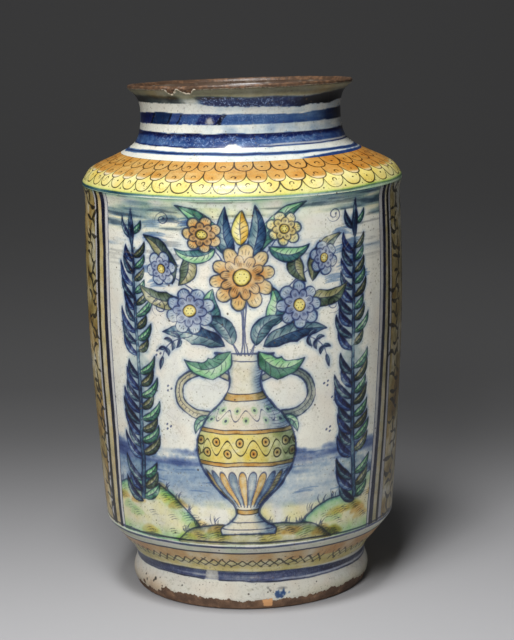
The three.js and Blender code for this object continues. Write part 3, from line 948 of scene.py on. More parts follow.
def paint_frame(s, seed):
    """The upright stripes. The six edges are looked up in the table, mirrored about 90 degrees. The
    right-hand frame gets a thin grey wash that is painted shade.
    """
    a, z = 90 - abs(90 - abs(s.angle)), s.height
    streak, cloud = wander(s.angle * 3, z * 0.08, 14, seed), wander(s.angle, z, 12, seed + 1)
    grain = wander(s.angle, z, 2.4, seed + 4, 2)
    a = a + 0.1 * wander(0 * a, z, 40, seed + 2) + 0.04 * cloud
    edges = [
        np.where(s.angle < 0, np.interp(z, FRAME_HEIGHTS, left), np.interp(z, FRAME_HEIGHTS, right))
        for left, right in zip(*FRAME_EDGES)
    ]
    line, navy, ochre, dark, white, border = edges
    within = ease((a - line) / 0.3 + 0.5)
    s.wear(within)
    for layer in (s.ink, s.cobalt):
        layer[a > line] = NO_LINE
    s.draw("cobalt", 0.42 + 0.08 * streak - abs(a - line) * 1.6)
    s.draw("ink", 0.1 + 0.1 * streak - abs(a - line) * 1.6)
    s.wash(band(a, line + 0.4, navy, 0.4) * 0.12, INDIGO)
    # painted shade: a thin grey wash darkens the whole frame on the right-hand side
    east = s.angle > 0
    s.wash(within * 0.12 * east, GREY_AND_SHADE)
    middle = band(a, navy, ochre, 0.35)
    s.wash(middle * (1.2 + 0.4 * streak + 0.25 * grain), INDIGO)
    s.wash(middle * (0.45 + 0.3 * cloud), TEAL)
    s.wash(middle * (0.85 + 0.3 * streak), GREY_AND_SHADE)
    s.wash(band(a, ochre, dark, 0.4) * (0.46 - 0.16 * east + 0.2 * streak + 0.15 * grain), OCHRE)
    s.wash(band(a, ochre, dark, 0.4) * (0.3 + 0.3 * cloud), OLIVE)
    middle = band(a, dark, white, 0.35)
    s.wash(middle * (2.4 + 0.4 * streak + 0.25 * grain), GREY_AND_SHADE)
    s.wash(middle * 0.7, BISTRE)
    s.wash(band(a, white, border, 0.3) * 0.2, INDIGO)
    ground = ease((a - border) / 0.4)
    s.wash(ground * (0.66 - 0.24 * east + 0.4 * cloud + 0.3 * streak), OCHRE)
    s.wash(ground * (0.5 + 0.5 * cloud + 0.3 * grain), OLIVE)
    s.wash(ground * ease(wander(s.angle, z, 20, seed + 6) * 2.4) * 0.28, ORANGE)
    s.draw("ink", 0.3 + 0.12 * streak - abs(a - border - 0.3) * 1.6)


print("a stripe's edge is looked up at heights", FRAME_HEIGHTS)

# %% [markdown]
# The border's leaves are quick dark strokes: a stem with pairs of long leaves, and sprays of three at
# either side. Each spray has a place, turn and size by chance, because exact repeats look stencilled.

# %% The leafy border
def paint_side(s, seed):
    """The frame, and its border's leaves. Behind the middle the front's picture is wiped off first."""
    behind = abs(s.angle) > 90
    s.tint[behind] = 1
    for layer in (s.ink, s.cobalt):
        layer[behind] = NO_LINE
    paint_frame(s, seed)
    middle = s.x.mean()
    for k, y in enumerate(np.arange(3.0, 196.0, 7.9)):
        for flip in (-1, 1):
            paint_spray(s, k, y, flip, middle, seed)
    for k, y in enumerate(np.arange(4.0, 196.0, 22.0)):
        s.stroke(bent((middle, y), (middle, y + 20), 0.06 * (-1) ** k), 0.7, mark="ink")
        for flip in (-1, 1):
            for n, share in enumerate((0.12, 0.32, 0.52, 0.72)):
                root = (middle, y + 20 * share)
                tip = (middle + flip * (19 - 3.0 * n), root[1] + 8.5)
                s.stroke(bent(root, tip, -0.25 * flip), 1.6, 0.85, "ink")
    border_lines(s)


def paint_spray(s, k, y, flip, middle, seed):
    """Three strokes from one root, each turned, sized and bowed by chance."""
    x0 = middle + flip * (27 + 7 * chance(k, 2 + flip, seed))
    y0 = y + 3.9 * (flip > 0) + 3 * chance(k, 5 + flip, seed)
    for turn, length in ((20, 7.0), (-65, 6.5), (115, 5.0)):
        luck = [chance(k, turn + m * flip, seed) for m in (3, 5, 7)]
        way = np.radians(turn + 70 * (luck[0] - 0.5))
        size = length * (0.7 + 0.6 * luck[1])
        tip = (x0 + 1.5 * size * np.sin(way), y0 + size * np.cos(way))
        s.stroke(bent((x0, y0), tip, 0.6 * (luck[2] - 0.5)), 0.8 + 0.7 * luck[1], 0.7, "ink")


print("side borders: sprays every 7.9 mm, pairs of leaves every 22 mm")

# %% [markdown]
# The front panel is a picture field between the frames. It gets a common subject of such jars, a footed
# vase of flowers between two tall fronds on grassy ground, in the painter's own colours. Painters built
# such a picture from a few motifs: fill a shape with a wash, shade one side, then draw its outline and
# veins in blue. So each motif is a closed line round a shape, and one fill function does the painting.

# %% Closed shapes
def region(s, line):
    """The distance to a closed line, above 0 inside, on the part of the sheet near it.

    A place is inside where a ray to its right crosses the line an odd number of times.
    """
    closed = np.vstack([line, line[:1]])
    part = window(s, closed, 4.0)
    x, y = s.x[part], s.y[part]
    if not x.size:
        return part, x
    gap, _ = nearest(x, y, closed)
    (px, py), (qx, qy) = closed[:-1].T, closed[1:].T
    x, y = x[..., None], y[..., None]
    cross = x < px + (y - py) * (qx - px) / np.where(qy == py, 1, qy - py)
    return part, np.where((((py > y) != (qy > y)) & cross).sum(-1) % 2, gap, -gap)


def fill(s, line, *paints, pen=0.0, mark="cobalt", over=True, halo=0.22, edge=0.3):
    """Paint a closed shape: wipe what it covers, lay each (colour, amount), then draw its outline. An
    amount is a number, or a function of the place and of the depth inside."""
    part, depth = region(s, np.asarray(line, float))
    if not depth.size:
        return
    x, y, share, cloud = s.x[part], s.y[part], ease(depth / 0.6 + 0.5), s.cloud[part] + 0.5 * s.grain[part]
    if over:
        s.tint[part] += (1 - s.tint[part]) * share[..., None]
        for layer in (s.ink, s.cobalt):
            layer[part][depth > 0] = NO_LINE
        rim = halo * (1 - share) * ease(1 + depth / 3.2) ** 1.5 * (1 + 0.8 * cloud)
        rim = rim + edge * share * ease(1 - depth / 1.8) * (1 + cloud)
        s.tint[part] *= COBALT ** np.clip(rim, 0, None)[..., None]
    for tone, amount in paints:
        much = amount(x, y, depth) if callable(amount) else amount
        s.tint[part] *= tone ** (share * np.clip(much * (1 + 0.45 * cloud), 0, None))[..., None]
    if pen:
        kept = getattr(s, mark)[part]
        np.maximum(kept, pen * (1 + 0.35 * cloud) - abs(depth), out=kept)


def ribbon(spine, half):
    """The closed line round a curve: its two sides, each half a width away along its normals."""
    slope = np.gradient(spine, axis=0)
    side = np.stack([-slope[:, 1], slope[:, 0]], 1) / np.linalg.norm(slope, axis=1)[:, None]
    side = side * np.asarray(half)[:, None]
    return np.vstack([spine + side, (spine - side)[::-1]])


def unsteady(s, seed):
    """Give a sheet its painter's hand: all places stray a little, and the load of the brush changes."""
    s.x = s.x + 0.5 * wander(s.angle, s.height, 13, seed, 3)
    s.y = s.y + 0.5 * wander(s.angle, s.height, 13, seed + 3, 3)
    s.cloud = wander(s.angle, s.height, 8, seed + 6)
    s.grain = wander(s.angle, s.height, 2, seed + 9, 2)


Sheet.fill = fill
print("a ribbon round a line of 3 points has", len(ribbon(bent((0, 0), (4, 0), 0, 2), [1, 1, 1])), "corners")

# %% [markdown]
# A leaf is a ribbon round a bowed spine. It gets a wash that deepens towards its edge, one darker half,
# and a few veins, which is how painters make a leaf look round with little work.

# %% Leaves
def leaf(s, base, tip, wide, bow, tone=GREEN, dark=TEAL, amount=0.9, lobes=0, pen=0.4, veins=5):
    """A leaf along a bowed spine: its half width is a sine of the share of the way, made wavy by lobes."""
    t = np.linspace(0, 1, 21)
    spine = bent(base, tip, bow, 20)
    wave = 1 - (0.22 * abs(np.cos(np.pi * lobes * t)) if lobes else 0)
    line = ribbon(spine, wide * np.sin(np.pi * t**0.8) ** 0.85 * wave)
    s.fill(line, (tone, lambda x, y, d: amount * (0.45 + 0.75 * ease(1.1 - d / wide))), pen=pen)
    s.fill(np.vstack([spine, line[21:]]), (dark, 0.8 * amount), over=False)
    s.stroke(spine, 0.34, 0.5)
    for k in range(veins):
        n = int(3 + 13 * k / max(veins, 1))
        for edge, reach in ((line[:21], 0.72), (line[21:][::-1], 0.9)):
            end = spine[n] * (1 - reach) + edge[min(n + 3, 20)] * reach
            s.stroke(bent(spine[n], end, 0.08), 0.24, 0.5)


print("a leaf's half width is a sine of the share of the way along its spine")

# %% [markdown]
# A blossom is a ring that dips between its petals, a smaller ring upon it and a round yellow eye, with
# short rays for folds. Separate petals would need three times the shapes and look the same at this size.
# Tendrils and sprigs fill the gaps between the larger motifs.

# %% Blossoms, tendrils and sprigs
def blossom(s, middle, reach, petals, heart, edge, turn=0.0, pen=0.42, amount=1.0):
    """An open flower: a circle that dips between its petals by a power of a cosine, and a round eye."""
    middle = np.array(middle, float)
    t = np.linspace(0, 2 * np.pi, petals * 8, endpoint=False)

    def ring(size, wave, spin=0.0):
        r = reach * size * (1 - wave + wave * abs(np.cos(petals * (t - spin) / 2)) ** 0.6)
        r = r * (1 + 0.05 * np.sin(2 * t + middle[0]))
        return middle + np.stack([r * np.cos(t + turn), r * np.sin(t + turn)], 1)

    def near(x, y, d):
        return amount * 1.5 * ease(1.15 - 1.25 * np.hypot(x - middle[0], y - middle[1]) / reach) ** 1.3

    s.fill(ring(1, 0.3), (edge, 0.5 * amount), (heart, near), pen=pen)
    inner_ring = ring(0.68, 0.34, np.pi / petals)
    paints = (edge, 0.45 * amount), (heart, 0.35 * amount)
    s.fill(inner_ring, *paints, pen=pen * 0.8, halo=0, edge=0.2)
    for k in range(petals):
        for spin, start, end in ((0, 0.72, 0.9), (0.12, 0.74, 0.86), (-0.12, 0.74, 0.86)):
            way = turn + 2 * np.pi * k / petals + spin
            ray = np.array([math.cos(way), math.sin(way)]) * reach
            s.stroke([middle + ray * start, middle + ray * end], 0.22, 0.5)
        way = turn + 2 * np.pi * (k + 0.5) / petals
        for spin in (-0.1, 0.02, 0.14):
            ray = np.array([math.cos(way + spin), math.sin(way + spin)]) * reach
            s.stroke([middle + ray * 0.36, middle + ray * 0.54], 0.22, 0.5)
    eye_rim = (ORANGE, lambda x, y, d: 0.7 * ease(1.3 - d))
    s.fill(ring(0.27, 0), (YELLOW, 0.9), eye_rim, pen=0.4, halo=0.0)
    for k in range(6):
        ray = np.array([math.cos(k * 1.05), math.sin(k * 1.05)]) * reach * 0.13
        s.stroke([middle + ray, middle + ray * 1.02], 0.36, 0, "ink")


def tendril(s, start, turn, reach, side, pen=0.36):
    """A curl that winds inwards: its radius falls steadily while it turns one and a half times round."""
    t = np.linspace(0, 1, 26)
    r, w = reach * (1 - 0.78 * t), np.radians(turn) + side * 3 * np.pi * t
    curl = np.stack([r * np.cos(w), r * np.sin(w)], 1)
    curl += np.array(start, float) - curl[0]
    s.stroke(curl, pen, 0.55)
    s.stroke([curl[-1], curl[-1] + 0.05], pen * 1.9, 0)


def sprig(s, base, tip, bow, tone=TEAL, pairs=3, size=5.0):
    """A small twig with pairs of pointed leaves and one at its tip."""
    spine = bent(base, tip, bow, 20)
    s.stroke(spine, 0.36, 0.4)
    for k in range(pairs):
        n = int(4 + 14 * k / pairs)
        way = spine[n + 1] - spine[n]
        way = way / np.hypot(*way)
        for side in (-1, 1):
            out = (way * 0.8 + side * np.array([-way[1], way[0]])) * size * (1 - 0.12 * k)
            leaf(s, spine[n], spine[n] + out, size * 0.24, 0.15 * side, tone, INDIGO, 0.9, 0, 0.28, 0)
    tip = spine[-1] + (spine[-1] - spine[17]) * 0.8
    leaf(s, spine[17], tip, size * 0.22, 0, tone, INDIGO, 0.9, 0, 0.28, 0)


print("a tendril turns", 3 * 180, "degrees")

# %% [markdown]
# The painted vase is drawn as the jar itself was: half widths at heights, joined by the same curve and
# mirrored. The same curve gives its width at any height, which shading and ornament need.

# %% The vase's outline and handles
VASE_HALF = smooth_curve([
    (15, 8), (15.5, 11.5), (10, 16), (6.3, 21), (8.5, 26.5), (19, 37), (26.5, 51), (27.5, 63), (21, 77),
    (12.5, 87), (9, 94), (8.6, 101), (11.5, 109), (15.5, 113)], 4)
HANDLE_SPINE = smooth_curve([
    (19, 77), (29, 78.5), (36, 85.5), (35.5, 95.5), (27, 102), (17, 102.5), (8.5, 99)], 4)


def vase_width(y):
    """The vase's half width at a height, looked up on its outline."""
    return np.interp(y, VASE_HALF[:, 1], VASE_HALF[:, 0])


def vase_handles(s, x0):
    """Two ribbons that thin towards the neck, with short marks along them and a leaf at each root."""
    for side in (-1, 1):
        spine = HANDLE_SPINE * (side, 1) + (x0, 0)
        thick = np.interp(np.linspace(0, 1, len(spine)), (0, 0.5, 1), (2.9, 2.2, 1.7))
        s.fill(ribbon(spine, thick), (OCHRE, 0.4), (COBALT, 0.3 + 0.2 * side), pen=0.45)
        s.stroke(spine[1:-2] + (0, 0.5), 0.28, 0.3)
        for n in range(2, len(spine) - 2):
            s.stroke([spine[n], spine[n] + (0.9 * side, -1.0)], 0.24, 0.5)
        leaf(s, spine[0] + (side * 0.5, -1), spine[0] + (side * 9.5, -10), 2.6, 0.2 * side,
             GREEN, TEAL, 0.8, 0, 0.38, 3)


def vase_body(s, x0):
    """The closed outline, shaded darker to the right and a little at the left. Returns that outline."""
    line = np.vstack([VASE_HALF, (VASE_HALF * (-1, 1))[::-1]]) + (x0, 0)

    def shade(x, y, d):
        half = vase_width(y)
        dark = ease((x - x0 - 0.1 * half) / (0.9 * half))
        return 0.85 * dark**1.3 + 0.35 * ease((x0 - x - 0.62 * half) / (0.38 * half))

    s.fill(line, (COBALT, shade), (OCHRE, 0.14), pen=0.6)
    return line


print("vase:", VASE_HALF[:, 1].max(), "mm tall,", round(2 * VASE_HALF[:, 0].max(), 1), "mm across")

# %% [markdown]
# The ornament has to look as if it went round. So it is drawn at places on a round vase: turn is the
# angle round it, and level is the height with the sag of a ring seen from a little above.

# %% The vase's ornament
RINGS = (12.5, 16.8, 21.5, 24, 50, 52.2, 69, 71.2, 88, 92, 110.5)
ORANGE_RINGS = ((50, 52.3, 0.9), (69, 71.2, 0.9), (88, 92, 0.8), (21.3, 24.2, 0.8))


def vase_ornament(s, x0, line):
    """Rings, coloured bands, upright ribs, two wavy lines with dots, and hatching down the right side."""
    part, depth = region(s, line)
    if not depth.size:
        return
    x, y, inside = s.x[part] - x0, s.y[part], ease(depth / 0.4)
    half = vase_width(y)
    across, cloud = x / half, 1 + 0.4 * s.cloud[part] + 0.2 * s.grain[part]
    level = y + 1.8 * np.sqrt(np.clip(1 - across**2, 0, 1))
    turn = np.arcsin(np.clip(across, -1, 1)) / np.pi * 12
    gauge = half * np.sqrt(np.clip(1 - across**2, 0.02, 1)) * np.pi / 12

    def paint(amount, tone):
        s.tint[part] *= tone ** (inside * np.clip(amount * cloud, 0, None))[..., None]

    def put(mark, value, where=True):
        kept = getattr(s, mark)[part]
        np.maximum(kept, np.where((depth > 0.2) & where, value, NO_LINE), out=kept)

    for height in RINGS:
        put("cobalt", 0.36 - abs(level - height))
    paint(band(level, 52.4, 69, 0.5) * 0.85, YELLOW)
    for low, high, much in ORANGE_RINGS:
        paint(band(level, low, high, 0.4) * much, ORANGE)

    rib = np.hypot(((turn % 1) - 0.5) * 2, np.clip(level - 41, 0, None) / 6.5)
    in_rib = ease((0.86 - rib) / 0.12) * band(level, 27, 48.5, 1)
    paint(in_rib * 0.75 * (np.floor(turn) % 2 > 0) * (0.5 + 0.9 * rib), ORANGE)
    paint(in_rib * 0.75 * (np.floor(turn) % 2 < 1) * (0.5 + 0.9 * rib), COBALT)
    put("cobalt", 0.32 - abs(0.86 - rib) * gauge / 1.6, (level > 25.5) & (level < 49.5))

    put("ink", 0.4 - abs(level - 60.7 - 4.4 * np.sin(turn * np.pi)) * 0.75, band(level, 52, 69) > 0.5)
    put("cobalt", 0.36 - abs(level - 79.5 - 3.3 * np.cos(turn * np.pi)) * 0.8, band(level, 73, 86) > 0.5)
    for k in range(-6, 7):
        near = np.hypot((turn - k - 0.5) * gauge * 1.1, (level - 60.7 + 3.2 * (-1) ** k) * 0.9)
        put("ink", np.maximum(0.42 - abs(near - 2.2), 0.7 - near))
        paint(ease(2.0 - near) * 0.7, RUST)
        near = np.hypot((turn - k) * gauge, (level - 79.5 + 3.0 * (-1) ** k) * 0.8)
        put("cobalt", 0.75 - near)
        paint(ease(2.3 - near) * 0.6, GREEN)
    for low in np.arange(10, 111, 1.7):
        if not 52 < low < 69:
            reach = vase_width(low)
            s.stroke(bent((x0 + reach * 0.62, low), (x0 + reach * 0.97, low + 1.6), -0.1), 0.2, 0.6)


print("vase:", len(RINGS), "rings and 12 ribs round it")

# %% [markdown]
# The ground is three grassy mounds, closed along the bottom, with hatching and tufts at chance places. Two
# tall fronds frame the vase. A soft shadow ties their leaves into one dark shape, as in a painted tree.

# %% Grassy mounds and tall fronds
def mound(s, line, seed, tone=GREEN):
    """A grassy hump: green and blue along its top, thin yellow and orange below, with tufts and hatching."""
    line = smooth_curve(line, 5)
    closed = np.vstack([line, [(line[-1, 0], 0), (line[0, 0], 0)]])
    paints = (
        (YELLOW, lambda x, y, d: 0.3 * ease(d / 9)),
        (tone, lambda x, y, d: 0.95 * ease(1.15 - d / 10)),
        (COBALT, lambda x, y, d: 0.45 * ease(1 - d / 3)),
    )
    s.fill(closed, *paints, halo=0.15)
    s.stroke(line, 0.5, 0.3)
    for k in range(30):
        share = chance(k, 1, seed)
        x = line[0, 0] + (line[-1, 0] - line[0, 0]) * share
        top = np.interp(x, *line[np.argsort(line[:, 0])].T)
        y = 5 + max(top - 7, 1) * chance(k, 2, seed)
        if k % 2:
            patch = (GREEN, YELLOW, ORANGE, OCHRE)[k // 2 % 4]
            s.dab(bent((x - 3, y - 1.4), (x + 8, y - 0.4), 0.1), 2.6, patch, 0.55, 2.5)
        for n in range(3):
            s.stroke(bent((x + n, y - 1.2 * n), (x + 5 + n, y + 0.9 - 1.2 * n), 0.1), 0.22, 0.6)
    for k in range(3, len(line) - 3, 3):
        x, y = line[k]
        for n in range(5):
            lean = (chance(k, n, seed) - 0.5) * 6
            tip = (x + lean, y + 2.6 + 3.2 * chance(n, k, seed))
            s.stroke(bent((x + n * 0.8 - 1.5, y - 0.4), tip, 0.15), 0.3, 0.6)


FROND_TONES = ((TEAL, INDIGO), (GREEN, TEAL), (COBALT, INDIGO), (OLIVE, TEAL))


def frond(s, x0, lean, low, high):
    """A tall leafy stem: a dark shadow first, then pairs of narrow leaves that shorten towards its tip."""
    stem = bent((x0, low), (x0 + lean, high), 0.02 * np.sign(x0), 24)
    for share in np.linspace(0.04, 0.96, 22):
        x, y = stem[int(share * 24)]
        reach = 7.5 * (1 - 0.6 * share**2)
        s.dab(bent((x - reach, y + 2), (x + reach, y + 2), 0.1), 4.2, TEAL, 0.32, 4)
    pairs = 21
    for k in range(pairs):
        share = (k + 0.6) / (pairs + 0.4)
        root = stem[int(share * 24)]
        for side in (-1, 1):
            size = 14.5 * (1 - 0.5 * share**1.6) * (0.8 + 0.4 * chance(k, 3 + side, int(abs(x0))))
            out = np.array([side * (0.75 + 0.2 * chance(k, side, 8)), 0.75 + 0.35 * share]) * size
            tone, dark = FROND_TONES[(2 * k + (side > 0)) % 4]
            start = root + (0, 1.5 * side)
            leaf(s, start, root + out, 2.7 - share, -0.17 * side, tone, dark, 1.35, 0, 0.42, 3)
    leaf(s, stem[22], stem[24] + (0, 8), 2.0, 0, TEAL, INDIGO, 1.3, 0, 0.42, 2)
    s.fill(ribbon(stem, np.linspace(1.4, 0.5, 25)), (TEAL, 1.2), (COBALT, 0.5), pen=0.42)
    for n in range(1, 23):
        s.stroke([stem[n] + (-0.5, 0), stem[n] + (0.8, 1.4)], 0.2, 0.5, "ink")


print("fronds: 21 pairs of leaves in", len(FROND_TONES), "pairs of pigments")

# %% [markdown]
# The bouquet is built up like a real one: stems, leaves, flowers, and the largest flower last. The leaves
# are given for one side and mirrored, and each strays a little by chance.

# %% The bouquet
FLOWERS = (  # the middle, the reach, the petals, the inner and outer pigment, and the turn
    ((-45, 160), 9.5, 6, INDIGO, COBALT, 0.2), ((45, 164), 9.0, 6, INDIGO, COBALT, 0.7),
    ((-21, 180), 10.5, 7, RUST, ORANGE, 0.4), ((23, 182), 9.5, 7, ORANGE, YELLOW, 0.1),
    ((-29, 137), 13.5, 8, INDIGO, COBALT, 0.3), ((30, 139), 13.0, 8, INDIGO, COBALT, 0.0),
    ((0, 156), 18.0, 10, RUST, ORANGE, 0.15),
)
BOUQUET_LEAVES = (  # root and tip, half width, bow and lobes
    ((7, 114), (33, 109), 6.5, 0.28, 3), ((10, 117), (46, 124), 6.0, -0.1, 3),
    ((34, 144), (60, 149), 5.6, 0.18, 2), ((12, 128), (15, 150), 5.2, 0.2, 0),
    ((6, 118), (21, 133), 4.6, -0.2, 0), ((38, 152), (57, 177), 5.4, -0.16, 2),
    ((8, 168), (35, 196), 5.0, -0.12, 2), ((4, 166), (8, 196), 4.4, 0.1, 0),
    ((30, 168), (34, 152), 4.6, 0.2, 0), ((14, 172), (36, 172), 4.0, 0.2, 0),
)


def bouquet(s, x0):
    """Stems and leaves first, then the flowers over them, the middle one last."""
    for (x, y), *_ in FLOWERS:
        s.stroke(bent((x0 + x * 0.08, 112), (x0 + x, y), 0.12 * np.sign(x)), 0.45, 0.3)
    for side in (-1, 1):
        for n, (base, tip, wide, bow, lobes) in enumerate(BOUQUET_LEAVES):
            stray = 1.6 * (chance(n, 5, 7 + side) - 0.5)
            start = (x0 + side * base[0], base[1])
            leaf(s, start, (x0 + side * tip[0] + stray, tip[1] + stray), wide, -side * bow,
                 (GREEN, TEAL, OLIVE)[n % 3], (TEAL, COBALT)[n % 2], 1.0, lobes)
        tendril(s, (x0 + side * 49, 133), 250, 5.5, side)
        tendril(s, (x0 + side * 48, 186), 200, 4.5, side)
        sprig(s, (x0 + side * 30, 122), (x0 + side * 47, 106), 0.2 * side, TEAL, 3, 4.6)
    for middle, reach, petals, heart, edge, turn in FLOWERS:
        amount = 0.7 if heart is INDIGO else 0.9
        blossom(s, (x0 + middle[0], middle[1]), reach, petals, heart, edge, turn, amount=amount)
    leaf(s, (x0, 174), (x0 + 1, 193), 4.6, 0.05, YELLOW, ORANGE, 0.9, 0, 0.42, 4)


print("bouquet:", len(FLOWERS), "flowers and", 2 * len(BOUQUET_LEAVES) + 1, "leaves")

# %% [markdown]
# The front panel comes together from the back of its picture to the front. Its two halves are separate
# sheets with a fine grid. First come a streaked sky and a strip of water, in washes and thin dabs.

# %% The front panel's sheets, sky and water
front_halves = [
    Sheet(-PANEL_END, PANEL_END, low, high, 400, 216)
    for low, high in ((PANEL_LOW, PANEL_SPLIT), (PANEL_SPLIT, PANEL_HIGH))
]


def paint_sky_and_water(s):
    """Streaked cobalt above, a strip of blue water below, and thin dabs in both."""
    x, y, cloud = s.x, s.y, s.cloud
    streak = wander(s.angle * 0.35, s.height * 2.2, 10, 118)
    long = wander(s.angle * 0.2, s.height * 1.6, 12, 125)
    fine = wander(s.angle * 0.3, s.height * 3.2, 6, 127)
    sky = ease((y - 150) / 45) * ease((abs(x + 8) - 4) / 50)
    s.wash(sky * ease(long * 1.6 + 0.15) * (0.6 + 0.6 * fine), COBALT)
    s.wash(ease((y - 140) / 50) * ease(fine * 3 - 1.2) * 0.35, GREY_AND_SHADE)
    s.wash(ease((y - 186) / 12) * (0.2 + 0.2 * cloud), GREEN)
    s.wash(band(y, 180, 197, 8) * ease(long + 0.3) * 0.3, YELLOW)
    sea = band(y, 24, 57 + 2 * cloud, 4) * (0.35 + 0.65 * ease((y - 22) / 34) ** 2)
    s.wash(sea * (0.75 + 0.5 * streak + 0.2 * s.grain), COBALT)
    s.wash(band(y, 48, 57 + 2 * cloud, 3) * (0.3 + 0.3 * streak), INDIGO)
    s.wash(band(y, 3, 26, 8) * (0.22 + 0.3 * cloud), YELLOW)
    for k in range(16):
        side = 1 if k % 2 else -1
        px, py = side * (34 + 30 * chance(k, 1, 120)), 150 + 44 * chance(k, 2, 120)
        for n in range(4):
            start = (px + 3 * chance(k, n, 121), py - 1.1 * n)
            end = (start[0] + 9 + 5 * chance(k, n, 122), start[1] + 0.6)
            s.dab(bent(start, end, 0.06), 0.55, COBALT, 0.6, 0.7)
    for k in range(26):
        px, py = -78 + 156 * chance(k, 1, 126), 26 + 29 * chance(k, 2, 126)
        s.dab(bent((px, py), (px + 12, py + 0.3), 0.03), 0.4, COBALT, 0.5, 0.6)


print("front panel:", len(front_halves), "sheets of", front_halves[0].angle.size, "points each")

# %% [markdown]
# The motifs are placed in millimetres from the panel's middle and its lower edge. The side sheets get
# the same picture, so that it runs on without a seam. The frame comes last and wipes what is under it,
# as a painter scrapes raw glaze clean with a knife.

# %% Paint the front panel
DOT_GROUPS = ((-46, 70), (47, 66), (-44, 92), (45, 93), (-50, 112), (50, 84))


def paint_front(s):
    """The picture from back to front: sky and water, mounds, fronds, vase, bouquet and dots."""
    unsteady(s, 101)
    paint_sky_and_water(s)
    mound(s, [(-100, 26), (-80, 34), (-64, 37), (-50, 32), (-38, 22), (-26, 9), (-22, 3)], 131)
    mound(s, [(100, 32), (84, 36), (70, 33), (58, 26), (46, 24), (34, 17), (24, 8), (20, 3)], 132)
    mound(s, [(-44, 3), (-34, 11), (-16, 14), (0, 13), (18, 14.5), (36, 12), (50, 3)], 133, OLIVE)
    frond(s, -68, 2, 24, 184)
    frond(s, 67, -1, 22, 187)
    vase_handles(s, -1)
    vase_ornament(s, -1, vase_body(s, -1))
    bouquet(s, -1)
    for k, (px, py) in enumerate(DOT_GROUPS):
        for turn in (0, 2.1, 4.2):
            at = np.array([px + 1.5 * math.cos(turn + k), py + 1.5 * math.sin(turn + k)])
            s.stroke([at, at + 0.3], 0.6, 0)


for k, s in enumerate(front_halves):
    paint_front(s)
    paint_frame(s, 71)
    border_lines(s)
for seed, s in zip((71, 81), sides.values()):
    paint_front(s)
    paint_side(s, seed)
print("front panel:", [(h.cobalt > 0).mean().round(3) for h in front_halves], "under blue line")

# %% [markdown]
# The back isn't seen in the picture. Such jars carry a plainer field there, so it gets the same leaves
# and flowers on one winding stem, drawn with fewer strokes.

# %% Paint the back panel
back = Sheet(130, 230, PANEL_LOW, PANEL_HIGH, 280, 308)


def paint_back(s):
    """One winding stem with flowers and leaves, and five sprigs up either side."""
    unsteady(s, 141)
    middle = np.pi * UNROLLED
    t = np.linspace(0, 1, 90)
    stem = np.stack([middle + 34 * np.sin(t * 3.2 * np.pi), 10 + 180 * t], 1)
    s.stroke(stem, 0.95, 0.2)
    for k in range(6):
        n = int(7 + 14 * k)
        side = 1 if stem[n, 0] > middle else -1
        curl = stem[n] + (-side * 30, 9)
        s.stroke(bent(stem[max(n - 5, 0)], curl, 0.18 * side, 14), 0.6, 0.3)
        tendril(s, stem[n] + (side * 6, 4), 120, 6, -side)
        heart, edge = ((RUST, ORANGE), (INDIGO, COBALT))[k % 2]
        blossom(s, curl, 11.5 - 0.6 * k, 7, heart, edge, 0.3 * k, amount=(0.9, 0.7)[k % 2])
    for k in range(17):
        n = int(3 + 5.1 * k)
        side = 1 if k % 2 else -1
        tip = stem[n] + (side * 19, 9 + 4 * chance(k, 1, 142))
        leaf(s, stem[n], tip, 4.4, -0.2 * side, (GREEN, TEAL)[k % 2], COBALT, 0.9, 2)
    for side in (-1, 1):
        for k in range(5):
            base, tip = (middle + side * 78, 14 + 36 * k), (middle + side * 66, 34 + 36 * k)
            sprig(s, base, tip, 0.15 * side, TEAL, 3, 6)
    paint_frame(s, 81)
    border_lines(s)


paint_back(back)
print("back panel:", (back.cobalt > 0).mean().round(3), "under blue line")

# %% [markdown]
# Materials. Shader nodes are wired with a small class, so that a formula can be written as one. The
# glaze reads the painting from the points of its shell, and adds what is finer than they are: foam in
# the thick cobalt, pinholes, a faint net of crazing and the speckle of tin.

